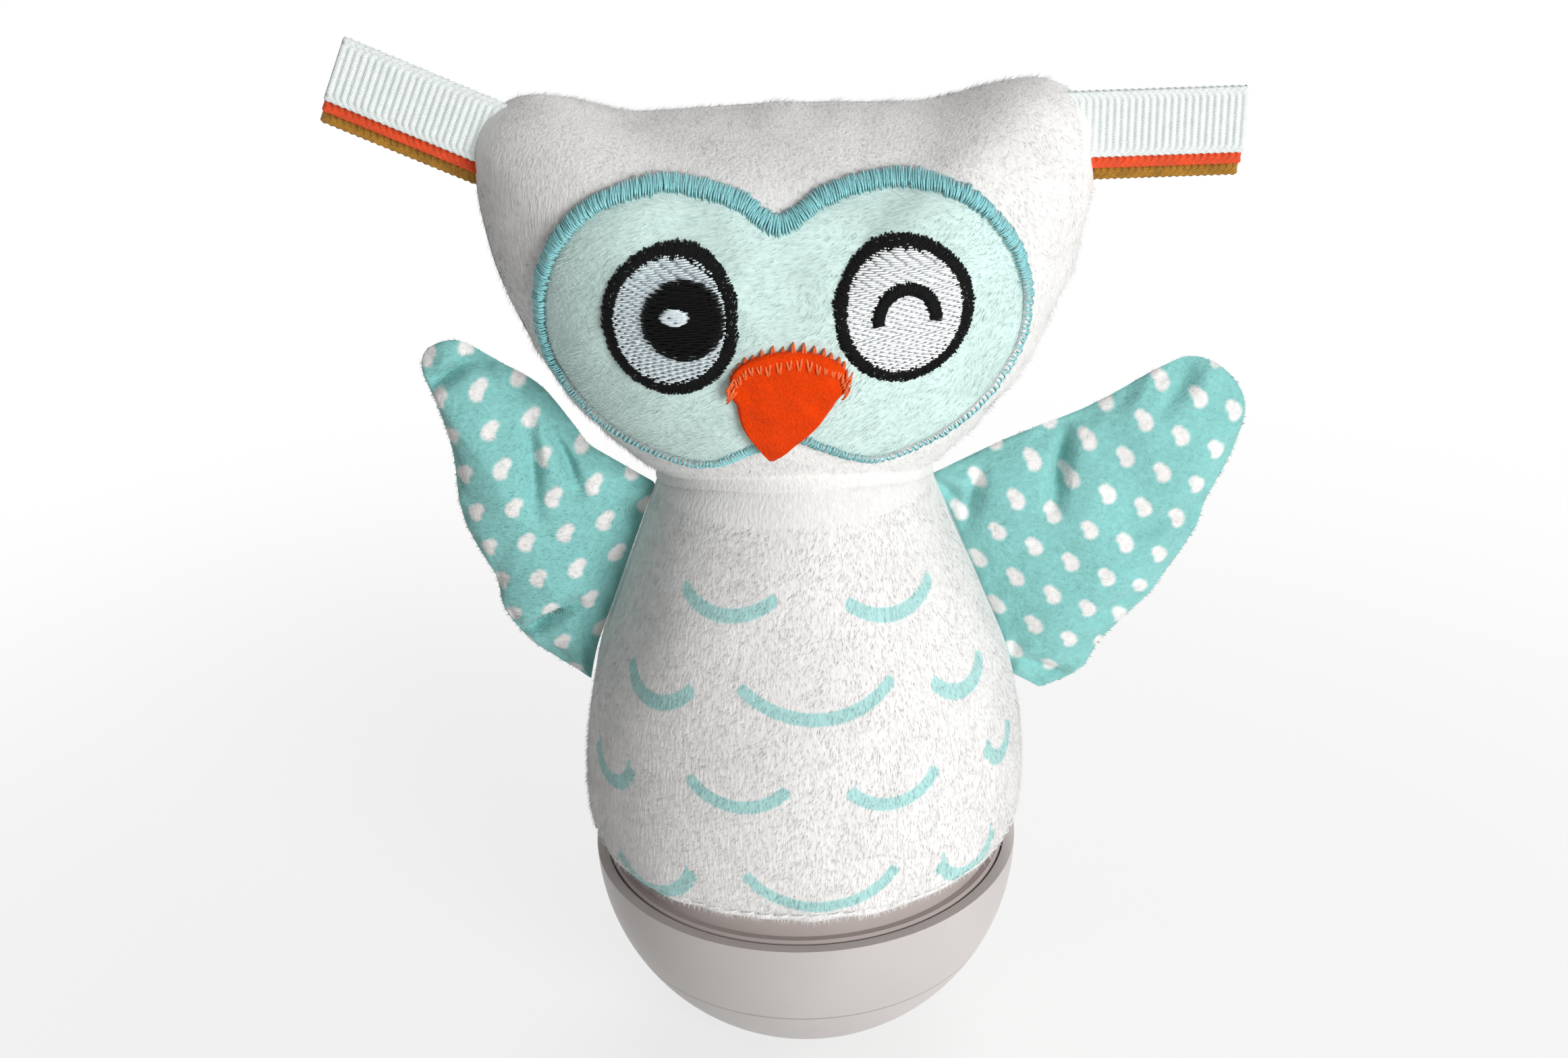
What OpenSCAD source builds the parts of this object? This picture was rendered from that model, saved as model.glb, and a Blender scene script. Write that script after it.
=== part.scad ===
// Owl-shaped roly-poly toy: a stuffed plush owl gathered onto a weighted, ball-bottomed base

/* [Base] */
// Radius of the ball that the base is part of
base_r = 41.4; // [38:0.1:48]
// How far the flat foot cuts into the ball
foot_cut = 1; // [0.6:0.1:2]
// Wall of the two base shells
base_wall = 2.4; // [1.8:0.1:3]
// Height of the joint line between dish and band
joint_z = 22; // [20:0.5:24]
// Width of the rim left around the collar flange
rim_w = 2; // [1.6:0.1:2.6]
// Depth of the seat that the collar flange drops into
seat_drop = 2.6; // [2:0.1:3.5]
// Thickness of the ledge under the collar flange
ledge_t = 2.5; // [2:0.1:4]
// Reach of the ledge inward from the rim
ledge_w = 2.8; // [2:0.1:4]
// Height of the locating lip on the dish
lip_h = 3; // [2:0.1:4]
// Wall of the locating lip
lip_t = 1.4; // [1:0.1:2]

/* [Collar] */
// Step from the ball radius in to the collar wall
collar_step = 4; // [3.2:0.1:5]
// Height of the collar wall over the rim
collar_rise = 11; // [8:0.5:14]
// Wall of the collar
collar_wall = 2.4; // [1.8:0.1:3]
// How far the flange stands over the rim
flange_proud = 0.5; // [0.2:0.1:1]
// Bevel on the flange edge
flange_bevel = 0.4; // [0.2:0.1:0.8]
// Gap between flange edge and rim
groove_gap = 0.4; // [0.2:0.05:0.8]
// Thickness of the hem cord
cord_d = 1.6; // [1.2:0.1:2]
// Height of the hem cord over the hem edge
cord_up = 1.4; // [1:0.1:2]

/* [Posts and screws] */
// Distance of the posts from the middle
post_ring_r = 20; // [18:0.5:22]
// Radius of a post
post_r = 4.4; // [3.8:0.1:5]
// Radius of a screw boss in the dish
boss_r = 5; // [4.6:0.1:5.6]
// Height of the boss tops
boss_top = 12; // [11:0.5:14]
// Height of the face that the screw heads pull against
screw_seat_z = 8.2; // [7.8:0.1:9]
// Radius of the case screw heads
screw_head_r = 2.9; // [2.4:0.1:3.1]
// Height of the case screw heads
screw_head_h = 1.8; // [1.4:0.1:2]
// Radius of the case screw shanks
screw_r = 1.45; // [1.2:0.05:1.8]
// Length of the case screw shanks
screw_l = 14; // [10:0.5:18]

/* [Ballast and chime] */
// Height of the room for the chime, from the ballast up to the collar floor
chime_room_h = 18.6; // [18.2:0.1:20]
// Radius of the chime plate
chime_plate_r = 13.2; // [12.5:0.1:14]
// Thickness of the chime plate
chime_plate_t = 3; // [2.5:0.1:3.5]
// Radius of a chime rod
rod_r = 1; // [0.8:0.05:1.2]
// Length of the shortest rod over the plate
rod_l = 8; // [7:0.5:9]
// Added length from one rod to the next
rod_more_l = 0.6; // [0.3:0.05:0.7]
// Spacing of the rods in a row
rod_pitch = 3.6; // [3:0.1:4]
// Distance of each row of rods from the middle
rod_row = 7.5; // [7:0.1:8.5]
// Distance of the two plate screws from the middle
plate_screw_x = 10; // [9:0.1:10.6]
// Radius of the plate screw heads
plate_screw_head_r = 1.8; // [1.4:0.1:2]
// Height of the plate screw heads
plate_screw_head_h = 1.4; // [1:0.1:1.6]
// Radius of the plate screw shanks
plate_screw_r = 0.95; // [0.8:0.05:1.1]
// Reach of the plate screws into the ballast
plate_screw_l = 5; // [4:0.5:7]
// Radius of the hammer pin
pin_r = 1; // [0.8:0.05:1.2]
// Depth of the hammer pin under the collar floor
pin_drop = 3; // [2.8:0.1:3.6]
// Distance of the bearing ears from the middle
ear_x = 12.5; // [12:0.1:14]
// Thickness of a bearing ear
ear_t = 2; // [1.6:0.1:2.6]
// Radius of an ear about the pin
ear_r = 2.6; // [2.2:0.1:2.7]
// Length of the hammer arms
hammer_arm = 7.5; // [7:0.1:8]
// Radius of the hammer bar
hammer_r = 2.2; // [2:0.1:2.3]
// Length of the hammer bar
hammer_l = 20; // [18:0.5:21]
// Distance of the hammer arms from the middle
hammer_arm_x = 7; // [6:0.1:8]
// Thickness of the hammer arms
hammer_arm_t = 1.6; // [1.2:0.1:2]

/* [Plush] */
// Thickness of the plush cloth with its pile
cloth_t = 1.6; // [1.2:0.1:2.2]
// Thickness of the wadding that stands for the loose fibre filling
wadding_t = 2; // [1.5:0.1:3]
// Bare collar left showing under the hem
collar_show = 6; // [5:0.1:7]
// Bulge of the belly over the ball radius
belly_out = 0.4; // [0:0.1:2]
// Height of the widest belly over the hem
belly_rise = 8.6; // [7:0.1:12]
// Height of the shoulder over the belly
shoulder_rise = 29.5; // [26:0.5:33]
// Step from belly in to shoulder
shoulder_in = 4.3; // [3.5:0.1:6]
// Height of the neck over the shoulder
neck_rise = 32.5; // [29:0.5:36]
// Step from shoulder in to neck
neck_in = 12.9; // [11.5:0.1:14.5]

/* [Head] */
// Height of the head's middle over the neck
head_lift = 33; // [31:0.5:35]
// Half of the head's width
head_half_w = 52.5; // [49:0.5:56]
// Half of the head's height
head_half_h = 37; // [35:0.5:40]
// Swell of the head to the front and to the back
head_depth = 30; // [28:0.5:33]
// Clearance of the head round the neck
neck_gap = 0.6; // [0.4:0.05:0.8]

/* [Face] */
// Sideways place of the face
face_x = -1.2; // [-2.5:0.1:2.5]
// Half of the face patch's width
patch_half_w = 40; // [37:0.5:41.5]
// Half of the face patch's height
patch_half_h = 23.8; // [22:0.1:25]
// Height of the patch's middle over the head's middle
patch_up = 2; // [1:0.1:3]
// Thickness of the face patch
patch_t = 1.5; // [1:0.1:2]
// Width of the stitched patch border
border_w = 3; // [2:0.1:4]
// Height of the border stitches over the patch
border_h = 0.5; // [0.3:0.1:0.8]
// Distance of each eye from the face's middle
eye_x = 18.6; // [17.5:0.1:20]
// Height of the eyes over the head's middle
eye_up = 4.5; // [3.5:0.1:6]
// Half of an eye's width
eye_half_w = 10.8; // [10:0.1:11.5]
// Half of an eye's height
eye_half_h = 12; // [11:0.1:13]
// Width of the black eye outline
eye_ring_w = 2.4; // [1.8:0.1:3]
// Thickness of the embroidery
thread_t = 0.7; // [0.5:0.05:1]
// Half of the pupil's width
pupil_half_w = 6.2; // [5:0.1:6.8]
// Half of the pupil's height
pupil_half_h = 6.9; // [6:0.1:8]
// Sideways place of the pupil in its eye
pupil_x = 1.7; // [0:0.1:1.9]
// Upward place of the pupil in its eye
pupil_up = -0.8; // [-1.5:0.1:1]
// Half of the glint's width
glint_half_w = 2.3; // [1.5:0.1:3]
// Half of the glint's height
glint_half_h = 1.7; // [1:0.1:2.2]
// Sideways place of the glint on the pupil
glint_x = -1.2; // [-2:0.1:2]
// Upward place of the glint on the pupil
glint_up = 0.6; // [-2:0.1:2]
// Half of the span of the winking eyelid
wink_half_w = 4.6; // [3.5:0.1:5.5]
// Height of the winking eyelid
wink_h = 5.6; // [4.5:0.1:6.5]
// Width of the winking eyelid's line
wink_w = 2.2; // [1.6:0.1:2.8]
// Drop of the eyelid's ends under the eye's middle
wink_drop = 2.6; // [1.5:0.1:3.5]

/* [Beak] */
// Half of the beak's width
beak_half_w = 9.9; // [9:0.1:11]
// Height of the sewn part over the fold
beak_root_h = 6.4; // [5.5:0.1:7.5]
// Drop of the fold under the head's middle
beak_fold_drop = 6.1; // [5.5:0.1:7.5]
// Length of the free flap
beak_l = 12.4; // [11:0.1:14]
// Thickness of the felt
felt_t = 1.4; // [1:0.1:1.8]
// Lift of the beak tip off the face
beak_tip_lift = 1; // [0.8:0.1:2]
// Sideways lean of the beak tip
beak_lean = -2.2; // [-3:0.1:3]
// Gap left at the fold line
fold_gap = 0.3; // [0.2:0.05:0.5]
// Width of the stitches along the beak's top
beak_stitch_w = 2.6; // [2:0.1:3]

/* [Wings] */
// Swell of a wing to the front and to the back
wing_depth = 6; // [5:0.1:7.5]
// Gap between a wing and the body seam
wing_gap = 0.7; // [0.6:0.05:0.9]
// Start of a wing root under the neck
wing_drop = 1.8; // [1.5:0.1:3]
// Reach of the right wing from the neck
right_wing_span = 58; // [52:0.5:62]
// Length of the right wing root down the side
right_wing_root_l = 42; // [38:0.5:45]
// Reach of the left wing from the neck
left_wing_span = 41.5; // [38:0.5:44]
// Length of the left wing root down the side
left_wing_root_l = 36; // [34:0.5:39]

/* [Ribbons] */
// Width of a ribbon
ribbon_w = 11; // [9:0.5:13]
// Thickness of a ribbon
ribbon_t = 0.5; // [0.4:0.05:0.7]
// Length of a ribbon loop
ribbon_l = 25; // [20:0.5:30]
// Gap between the two leaves of a loop
loop_gap = 0.6; // [0.5:0.05:0.8]
// Gap between neighbouring loops
loop_space_w = 0.2; // [0.15:0.05:0.3]
// Drop of each loop under the one in front
loop_drop = 2.3; // [1.5:0.1:3]
// Gap between the loops and the head seam
ribbon_gap = 0.5; // [0.4:0.05:0.6]

/* [Fits] */
// Gap between parts that lie against each other
fit = 0.2; // [0.1:0.05:0.25]
// Clearance of a pin in a turning bore
running_fit = 0.06; // [0.02:0.01:0.1]
// Clearance of a fixed pin or screw in its hole
pin_fit = 0.03; // [0.01:0.01:0.05]
// Overrun of a cut past the surface it opens
overrun = 1; // [0.5:0.1:2]

/* [Hidden] */

plush_white = [0.93, 0.92, 0.91];
plush_aqua = [0.52, 0.81, 0.79];
patch_aqua = [0.81, 0.93, 0.9];
teal_thread = [0.43, 0.74, 0.79];
black_thread = [0.03, 0.03, 0.035];
silver_thread = [0.78, 0.8, 0.82];
felt_orange = [0.93, 0.3, 0.05];
ribbon_white_colour = [0.92, 0.95, 0.94];
ribbon_orange_colour = [0.95, 0.33, 0.1];
ribbon_gold_colour = [0.67, 0.46, 0.11];
base_white = [0.85, 0.83, 0.82];
inner_grey = [0.62, 0.63, 0.65];
iron_grey = [0.3, 0.3, 0.31];
steel_grey = [0.72, 0.73, 0.75];
wadding_white = [0.97, 0.97, 0.96];

// heights of the base
ball_z = base_r - foot_cut;
rim_z = ball_z;
rim_r = base_r - rim_w;
seat_z = rim_z - seat_drop;
inner_r = base_r - base_wall;
lip_r = sqrt(inner_r * inner_r - (ball_z - joint_z) * (ball_z - joint_z)) - fit;
flange_r = rim_r - groove_gap;
floor_z = seat_z + fit;
ballast_top = floor_z - chime_room_h;
flange_top = rim_z + flange_proud;
collar_r = base_r - collar_step;
collar_top = rim_z + collar_rise;
post_angles = [0, 120, 240];
plate_z = ballast_top + fit;
plate_top = plate_z + chime_plate_t;
pin_z = floor_z - pin_drop;
screw_top = screw_seat_z + screw_l;
rod_count = 6;

// outline of the stuffed body, from the hem up
hem_z = rim_z + collar_show;
hem_inner_r = collar_r + fit;
hem_r = hem_inner_r + cloth_t;
belly_z = hem_z + belly_rise;
belly_r = base_r + belly_out;
shoulder_z = belly_z + shoulder_rise;
shoulder_r = belly_r - shoulder_in;
neck_z = shoulder_z + neck_rise;
neck_r = shoulder_r - neck_in;
neck_slope = neck_in / neck_rise;
neck_lean = atan(neck_slope);
ball_joint_r = neck_r / cos(neck_lean);
ball_joint_z = neck_z - neck_r * neck_slope;
head_z = neck_z + head_lift;
cord_z = hem_z + cord_up;
cord_r = collar_r - cord_d / 4;

hem_curve = [[hem_r, hem_z], [hem_r + (belly_r - hem_r) * 0.5, hem_z + belly_rise * 0.19],
    [belly_r, hem_z + belly_rise * 0.48], [belly_r, belly_z]];
side_curve = [[belly_r, belly_z], [belly_r, belly_z + shoulder_rise * 0.19],
    [shoulder_r + neck_slope * shoulder_rise * 0.27, shoulder_z - shoulder_rise * 0.27],
    [shoulder_r, shoulder_z]];
curve_steps = 7;
dome_steps = 8;

function bend(c, t) = c[0] * pow(1 - t, 3) + c[1] * 3 * t * pow(1 - t, 2)
    + c[2] * 3 * t * t * (1 - t) + c[3] * pow(t, 3);
function bend_way(c, t) = (c[1] - c[0]) * pow(1 - t, 2) + (c[2] - c[1]) * 2 * t * (1 - t)
    + (c[3] - c[2]) * t * t;
function inward(way) = [-way[1], way[0]] / norm(way);
function inset_bend(c, t, inset) = bend(c, t) + inset * inward(bend_way(c, t));
function dome(a, inset) = [(ball_joint_r - inset) * cos(a), ball_joint_z + (ball_joint_r - inset) * sin(a)];
function side_outline(inset) = concat(
    [for (k = [0 : curve_steps - 1]) inset_bend(hem_curve, k / curve_steps, inset)],
    [for (k = [0 : curve_steps]) inset_bend(side_curve, k / curve_steps, inset)]);
function dome_outline(inset) =
    [for (k = [0 : dome_steps]) dome(neck_lean + (90 - neck_lean) * k / dome_steps, inset)];
function body_outline(inset) = concat(side_outline(inset), dome_outline(inset));
function body_r(z) = lookup(z, [for (p = body_outline(0)) [p[1], p[0]]]);
function backward(list) = [for (k = [len(list) - 1 : -1 : 0]) list[k]];

// outline of the head: shares of its half sizes at even turns from the top round to the chin
head_shares = [0.90, 0.91, 0.945, 1.03, 1.27, 1.275, 1.155, 1.05, 0.975, 0.92,
    0.89, 0.88, 0.89, 0.905, 0.935, 0.985, 1.025, 1.06, 1.08];
swell = 0.62;
head_turns = 48;
head_rings = 7;
head_core_rings = 4;
probe = head_half_w / 400;

function blend(a, b, c, d, t) = 0.5 * (2 * b + (c - a) * t + (2 * a - 5 * b + 4 * c - d) * t * t
    + (3 * b - a - 3 * c + d) * t * t * t);
function folded(k, n) = abs(k) > n ? 2 * n - abs(k) : abs(k);
function share_at(table, place) = let (n = len(table) - 1, k = floor(place)) blend(
    table[folded(k - 1, n)], table[folded(k, n)], table[folded(k + 1, n)], table[folded(k + 2, n)],
    place - k);
function head_share(turn) = share_at(head_shares, abs(turn) / 180 * (len(head_shares) - 1));
function head_swell(x, z) = let (u = x / head_half_w, v = (z - head_z) / head_half_h,
    t = norm([u, v]) / head_share(atan2(u, v))) head_depth * pow(1 - min(t * t, 1), swell);
function head_slope(x, z) = [head_swell(x + probe, z) - head_swell(x - probe, z),
    head_swell(x, z + probe) - head_swell(x, z - probe)] / (2 * probe);
function head_out(x, z) = let (s = head_slope(x, z)) [-s[0], -1, -s[1]] / norm([s[0], 1, s[1]]);
function on_head(p, lift) = [p[0], -head_swell(p[0], p[1]), p[1]] + lift * head_out(p[0], p[1]);
function ring_share(j, k) = sin(90 * j / k);
function turned(i) = let (a = 360 * i / head_turns) a > 180 ? a - 360 : a;
function head_place(turn, t, inset, side) = let (s = head_share(turn) * t) [
    (head_half_w - inset) * s * sin(turn),
    side * (head_depth - inset) * pow(1 - min(t * t, 1), swell),
    head_z + (head_half_h - inset) * s * cos(turn)];

// solids made of two matching grids of rings, one each side
function disc_faces(n, k, first) = concat(
    [for (i = [0 : n - 1]) [first, first + 1 + i, first + 1 + (i + 1) % n]],
    [for (j = [0 : k - 2]) for (i = [0 : n - 1])
        [first + 1 + j * n + i, first + 1 + (j + 1) * n + i, first + 1 + (j + 1) * n + (i + 1) % n]],
    [for (j = [0 : k - 2]) for (i = [0 : n - 1])
        [first + 1 + j * n + i, first + 1 + (j + 1) * n + (i + 1) % n, first + 1 + j * n + (i + 1) % n]]);
function turned_over(faces) = [for (f = faces) [f[0], f[2], f[1]]];
function edge_faces(n, first, other) = concat(
    [for (i = [0 : n - 1]) [first + i, other + i, other + (i + 1) % n]],
    [for (i = [0 : n - 1]) [first + i, other + (i + 1) % n, first + (i + 1) % n]]);
function sheet_faces(n, k) = let (m = 1 + n * k) concat(disc_faces(n, k, 0),
    turned_over(disc_faces(n, k, m)), edge_faces(n, m - n, 2 * m - n));
function grid_faces(nu, nv, first) = concat(
    [for (j = [0 : nv - 1]) for (i = [0 : nu - 1])
        [first + j * (nu + 1) + i, first + j * (nu + 1) + i + 1, first + (j + 1) * (nu + 1) + i + 1]],
    [for (j = [0 : nv - 1]) for (i = [0 : nu - 1])
        [first + j * (nu + 1) + i, first + (j + 1) * (nu + 1) + i + 1, first + (j + 1) * (nu + 1) + i]]);
function grid_rim(nu, nv) = concat([for (i = [0 : nu - 1]) i],
    [for (j = [0 : nv - 1]) j * (nu + 1) + nu], [for (i = [nu : -1 : 1]) nv * (nu + 1) + i],
    [for (j = [nv : -1 : 1]) j * (nu + 1)]);
function rim_faces(rim, m) = concat(
    [for (i = [0 : len(rim) - 1]) [rim[i], m + rim[i], m + rim[(i + 1) % len(rim)]]],
    [for (i = [0 : len(rim) - 1]) [rim[i], m + rim[(i + 1) % len(rim)], rim[(i + 1) % len(rim)]]]);
function plate_faces(nu, nv) = let (m = (nu + 1) * (nv + 1)) concat(grid_faces(nu, nv, 0),
    turned_over(grid_faces(nu, nv, m)), rim_faces(grid_rim(nu, nv), m));
function closed_faces(n, k) = let (m = 1 + n * k) concat(disc_faces(n, k, 0),
    [for (f = turned_over(disc_faces(n, k, m))) [for (v = f) v >= 2 * m - n ? v - m : v]]);
function hoop_faces(n) = concat(edge_faces(n, 0, n), edge_faces(n, n, 2 * n),
    edge_faces(n, 2 * n, 3 * n), edge_faces(n, 3 * n, 0));

// smooth closed line through a few places
function loop_point(p, i, t) = let (n = len(p))
    blend(p[(i + n - 1) % n], p[i], p[(i + 1) % n], p[(i + 2) % n], t);
function smooth_loop(p, steps) =
    [for (i = [0 : len(p) - 1]) for (k = [0 : steps - 1]) loop_point(p, i, k / steps)];
function toward(p, c, step) = p + step * (c - p) / norm(c - p);

// face patch outline: shares of its half sizes, right side from the notch to the chin
patch_shares = [[0, 0.62], [0.19, 0.87], [0.49, 0.99], [0.77, 0.85], [0.96, 0.35], [0.976, -0.29],
    [0.737, -0.796], [0.373, -0.996], [0.14, -0.83], [0, -0.71]];
patch_mirrored = [for (k = [len(patch_shares) - 2 : -1 : 1]) [-patch_shares[k][0], patch_shares[k][1]]];
patch_middle = [face_x, head_z + patch_up];
patch_places = [for (s = concat(patch_shares, patch_mirrored))
    patch_middle + [s[0] * patch_half_w, s[1] * patch_half_h]];
patch_steps = 3;
patch_rings = 5;
patch_edge = smooth_loop(patch_places, patch_steps);
patch_inner = [for (p = patch_edge) toward(p, patch_middle, border_w)];
patch_lift = fit;
patch_face = patch_lift + patch_t;
border_lift = patch_face + border_h;
eye_back = patch_face + fit;
eye_face = eye_back + thread_t;
pupil_back = eye_face + fit;
pupil_face = pupil_back + thread_t;
glint_back = pupil_face + fit;
glint_face = glint_back + thread_t;
oval_turns = 28;
oval_rings = 3;
arc_steps = 16;

beak_fold_z = head_z - beak_fold_drop;
beak_lift = patch_face + fit;
beak_columns = 10;
beak_rows = 6;

// wing outlines: shares of the wing's reach and root length, from the neck end round to the low end
right_wing_shares = [[0.23, 0.10], [0.50, 0.245], [0.69, 0.39], [0.81, 0.452], [0.92, 0.38], [0.985, 0.22],
    [0.95, 0.0], [0.885, -0.2], [0.845, -0.37], [0.745, -0.60], [0.69, -0.70], [0.57, -0.88],
    [0.50, -1.035], [0.37, -1.125]];
left_wing_shares = [[0.30, 0.17], [0.475, 0.43], [0.66, 0.59], [0.82, 0.74], [0.95, 0.705], [0.985, 0.6],
    [0.945, 0.44], [0.895, 0.17], [0.885, -0.15], [0.84, -0.34], [0.765, -0.53], [0.735, -0.74],
    [0.64, -0.91], [0.51, -1.04]];
right_wing_middle_shares = [0.53, -0.3];
left_wing_middle_shares = [0.6, -0.14];
wing_root_steps = 5;
wing_steps = 2;
wing_rings = 5;
wing_core_rings = 2;
ribbon_lean_angle = 25;
ribbon_seat_angle = 51.5;
ribbon_level_angle = 55;

function wing_root_z(root) = [for (k = [wing_root_steps : -1 : 0])
    neck_z - wing_drop - root * k / wing_root_steps];
function wing_root_line(root) = [for (z = wing_root_z(root)) [body_r(z) + wing_gap, z]];
function wing_edge(shares, span, root) = concat(wing_root_line(root),
    [for (i = [0 : len(shares) - 2]) for (k = [0 : wing_steps - 1]) let (n = len(shares) - 1,
        s = blend(shares[max(i - 1, 0)], shares[i], shares[i + 1], shares[min(i + 2, n)], k / wing_steps))
        [neck_r + s[0] * span, neck_z + s[1] * root]],
    [let (s = shares[len(shares) - 1]) [neck_r + s[0] * span, neck_z + s[1] * root]]);
function wing_place(p, c, t, inset, side) = let (q = c + (p - c) * t * (1 - inset / norm(p - c)))
    [q[0], side * (wing_depth - inset) * pow(1 - min(t * t, 1), swell), q[1]];
function wing_grid(edge, c, k, inset, side) = concat([wing_place(edge[0], c, 0, inset, side)],
    [for (j = [1 : k]) for (p = edge) wing_place(p, c, ring_share(j, k), inset, side)]);

module ball_profile(r) {
    translate([0, ball_z])
        circle(r = r, $fn = 96);
}

module at_posts() {
    for (a = post_angles)
        rotate([0, 0, a])
            translate([post_ring_r, 0, 0])
                children();
}

module dish_profile() {
    intersection() {
        union() {
            difference() {
                ball_profile(base_r);
                ball_profile(inner_r);
            }
            square([base_r, base_wall]);
        }
        square([base_r, joint_z]);
        ball_profile(base_r);
    }
    translate([lip_r - lip_t, joint_z - lip_h])
        square([lip_t, lip_h * 2]);
}

module base_dish() {
    color(base_white)
        difference() {
            union() {
                rotate_extrude($fn = 96)
                    dish_profile();
                intersection() {
                    translate([0, 0, ball_z])
                        sphere(r = base_r, $fn = 96);
                    at_posts()
                        cylinder(r = boss_r, h = boss_top, $fn = 40);
                }
            }
            at_posts()
                translate([0, 0, -overrun])
                    cylinder(r = screw_head_r + fit, h = screw_seat_z + overrun, $fn = 40);
            at_posts()
                cylinder(r = screw_r + fit, h = boss_top + overrun, $fn = 40);
        }
}

module base_band() {
    color(base_white)
        rotate_extrude($fn = 96)
            difference() {
                union() {
                    intersection() {
                        difference() {
                            ball_profile(base_r);
                            ball_profile(inner_r);
                        }
                        translate([0, joint_z])
                            square([base_r, rim_z - joint_z]);
                    }
                    translate([rim_r - ledge_w, seat_z - ledge_t])
                        square([ledge_w, ledge_t]);
                }
                translate([0, seat_z])
                    square([rim_r, seat_drop + overrun]);
            }
}

module collar_profile() {
    difference() {
        polygon([[0, floor_z], [flange_r, floor_z], [flange_r, flange_top - flange_bevel],
            [flange_r - flange_bevel, flange_top], [collar_r, flange_top], [collar_r, collar_top],
            [collar_r - collar_wall, collar_top], [collar_r - collar_wall, flange_top], [0, flange_top]]);
        translate([cord_r, cord_z])
            circle(r = cord_d / 2 + fit, $fn = 32);
    }
}

module bearing_ear(x) {
    translate([x - ear_t / 2, 0, pin_z])
        rotate([0, 90, 0])
            cylinder(r = ear_r, h = ear_t, $fn = 32);
    translate([x - ear_t / 2, -ear_r, pin_z])
        cube([ear_t, ear_r * 2, floor_z - pin_z + fit]);
}

module collar() {
    color(base_white)
        difference() {
            union() {
                rotate_extrude($fn = 96)
                    collar_profile();
                at_posts()
                    translate([0, 0, boss_top + fit])
                        cylinder(r = post_r, h = floor_z - boss_top, $fn = 40);
                bearing_ear(ear_x);
                bearing_ear(-ear_x);
            }
            at_posts()
                translate([0, 0, boss_top])
                    cylinder(r = screw_r + pin_fit, h = screw_top - boss_top + overrun, $fn = 32);
            translate([-ear_x - ear_t, 0, pin_z])
                rotate([0, 90, 0])
                    cylinder(r = pin_r + pin_fit, h = (ear_x + ear_t) * 2, $fn = 32);
        }
}

module case_screws() {
    color(steel_grey)
        at_posts() {
            translate([0, 0, screw_seat_z - screw_head_h])
                difference() {
                    cylinder(r = screw_head_r, h = screw_head_h, $fn = 32);
                    translate([-screw_head_r, -screw_r / 4, -overrun])
                        cube([screw_head_r * 2, screw_r / 2, screw_head_h / 2 + overrun]);
                }
            translate([0, 0, screw_seat_z])
                cylinder(r = screw_r, h = screw_l, $fn = 32);
        }
}

module ballast() {
    color(iron_grey)
        difference() {
            rotate_extrude($fn = 96)
                intersection() {
                    ball_profile(inner_r - fit);
                    translate([0, base_wall + fit])
                        square([lip_r - lip_t - fit, ballast_top - base_wall - fit]);
                }
            at_posts()
                cylinder(r = boss_r + fit * 2, h = ballast_top + overrun, $fn = 40);
            for (side = [-1, 1])
                translate([side * plate_screw_x, 0, ballast_top - plate_screw_l - fit])
                    cylinder(r = plate_screw_r + pin_fit, h = plate_screw_l + overrun, $fn = 24);
        }
}

module at_rods() {
    for (side = [-1, 1])
        for (k = [0 : rod_count - 1])
            translate([(k - (rod_count - 1) / 2) * rod_pitch, side * rod_row, plate_z])
                children();
}

module chime_plate() {
    color(inner_grey)
        difference() {
            translate([0, 0, plate_z])
                cylinder(r = chime_plate_r, h = chime_plate_t, $fn = 64);
            at_rods()
                translate([0, 0, -overrun])
                    cylinder(r = rod_r + pin_fit, h = chime_plate_t + overrun * 2, $fn = 24);
            for (side = [-1, 1])
                translate([side * plate_screw_x, 0, plate_z - overrun])
                    cylinder(r = plate_screw_r + fit, h = chime_plate_t + overrun * 2, $fn = 24);
        }
}

module chime_rods() {
    color(steel_grey)
        for (side = [-1, 1])
            for (k = [0 : rod_count - 1])
                translate([(k - (rod_count - 1) / 2) * rod_pitch, side * rod_row, plate_z])
                    cylinder(r = rod_r, h = chime_plate_t + rod_l + k * rod_more_l, $fn = 24);
}

module chime_screws() {
    color(steel_grey)
        for (side = [-1, 1])
            translate([side * plate_screw_x, 0, ballast_top - plate_screw_l]) {
                cylinder(r = plate_screw_r, h = plate_screw_l + fit + chime_plate_t, $fn = 24);
                translate([0, 0, plate_screw_l + fit + chime_plate_t])
                    cylinder(r = plate_screw_head_r, h = plate_screw_head_h, $fn = 24);
            }
}

module hammer_pin() {
    color(steel_grey)
        translate([-ear_x - ear_t / 2, 0, pin_z])
            rotate([0, 90, 0])
                cylinder(r = pin_r, h = ear_x * 2 + ear_t, $fn = 32);
}

module hammer() {
    color(steel_grey)
        difference() {
            union() {
                translate([-hammer_l / 2, 0, pin_z - hammer_arm])
                    rotate([0, 90, 0])
                        cylinder(r = hammer_r, h = hammer_l, $fn = 32);
                for (side = [-1, 1])
                    translate([side * hammer_arm_x - hammer_arm_t / 2, 0, pin_z]) {
                        rotate([0, 90, 0])
                            cylinder(r = pin_r * 2, h = hammer_arm_t, $fn = 32);
                        translate([0, -pin_r, -hammer_arm])
                            cube([hammer_arm_t, pin_r * 2, hammer_arm]);
                    }
            }
            translate([-hammer_l, 0, pin_z])
                rotate([0, 90, 0])
                    cylinder(r = pin_r + running_fit, h = hammer_l * 2, $fn = 32);
        }
}

module hem_cord() {
    color(plush_white)
        translate([0, 0, cord_z])
            rotate_extrude($fn = 96)
                translate([cord_r, 0])
                    circle(r = cord_d / 2, $fn = 24);
}

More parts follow.
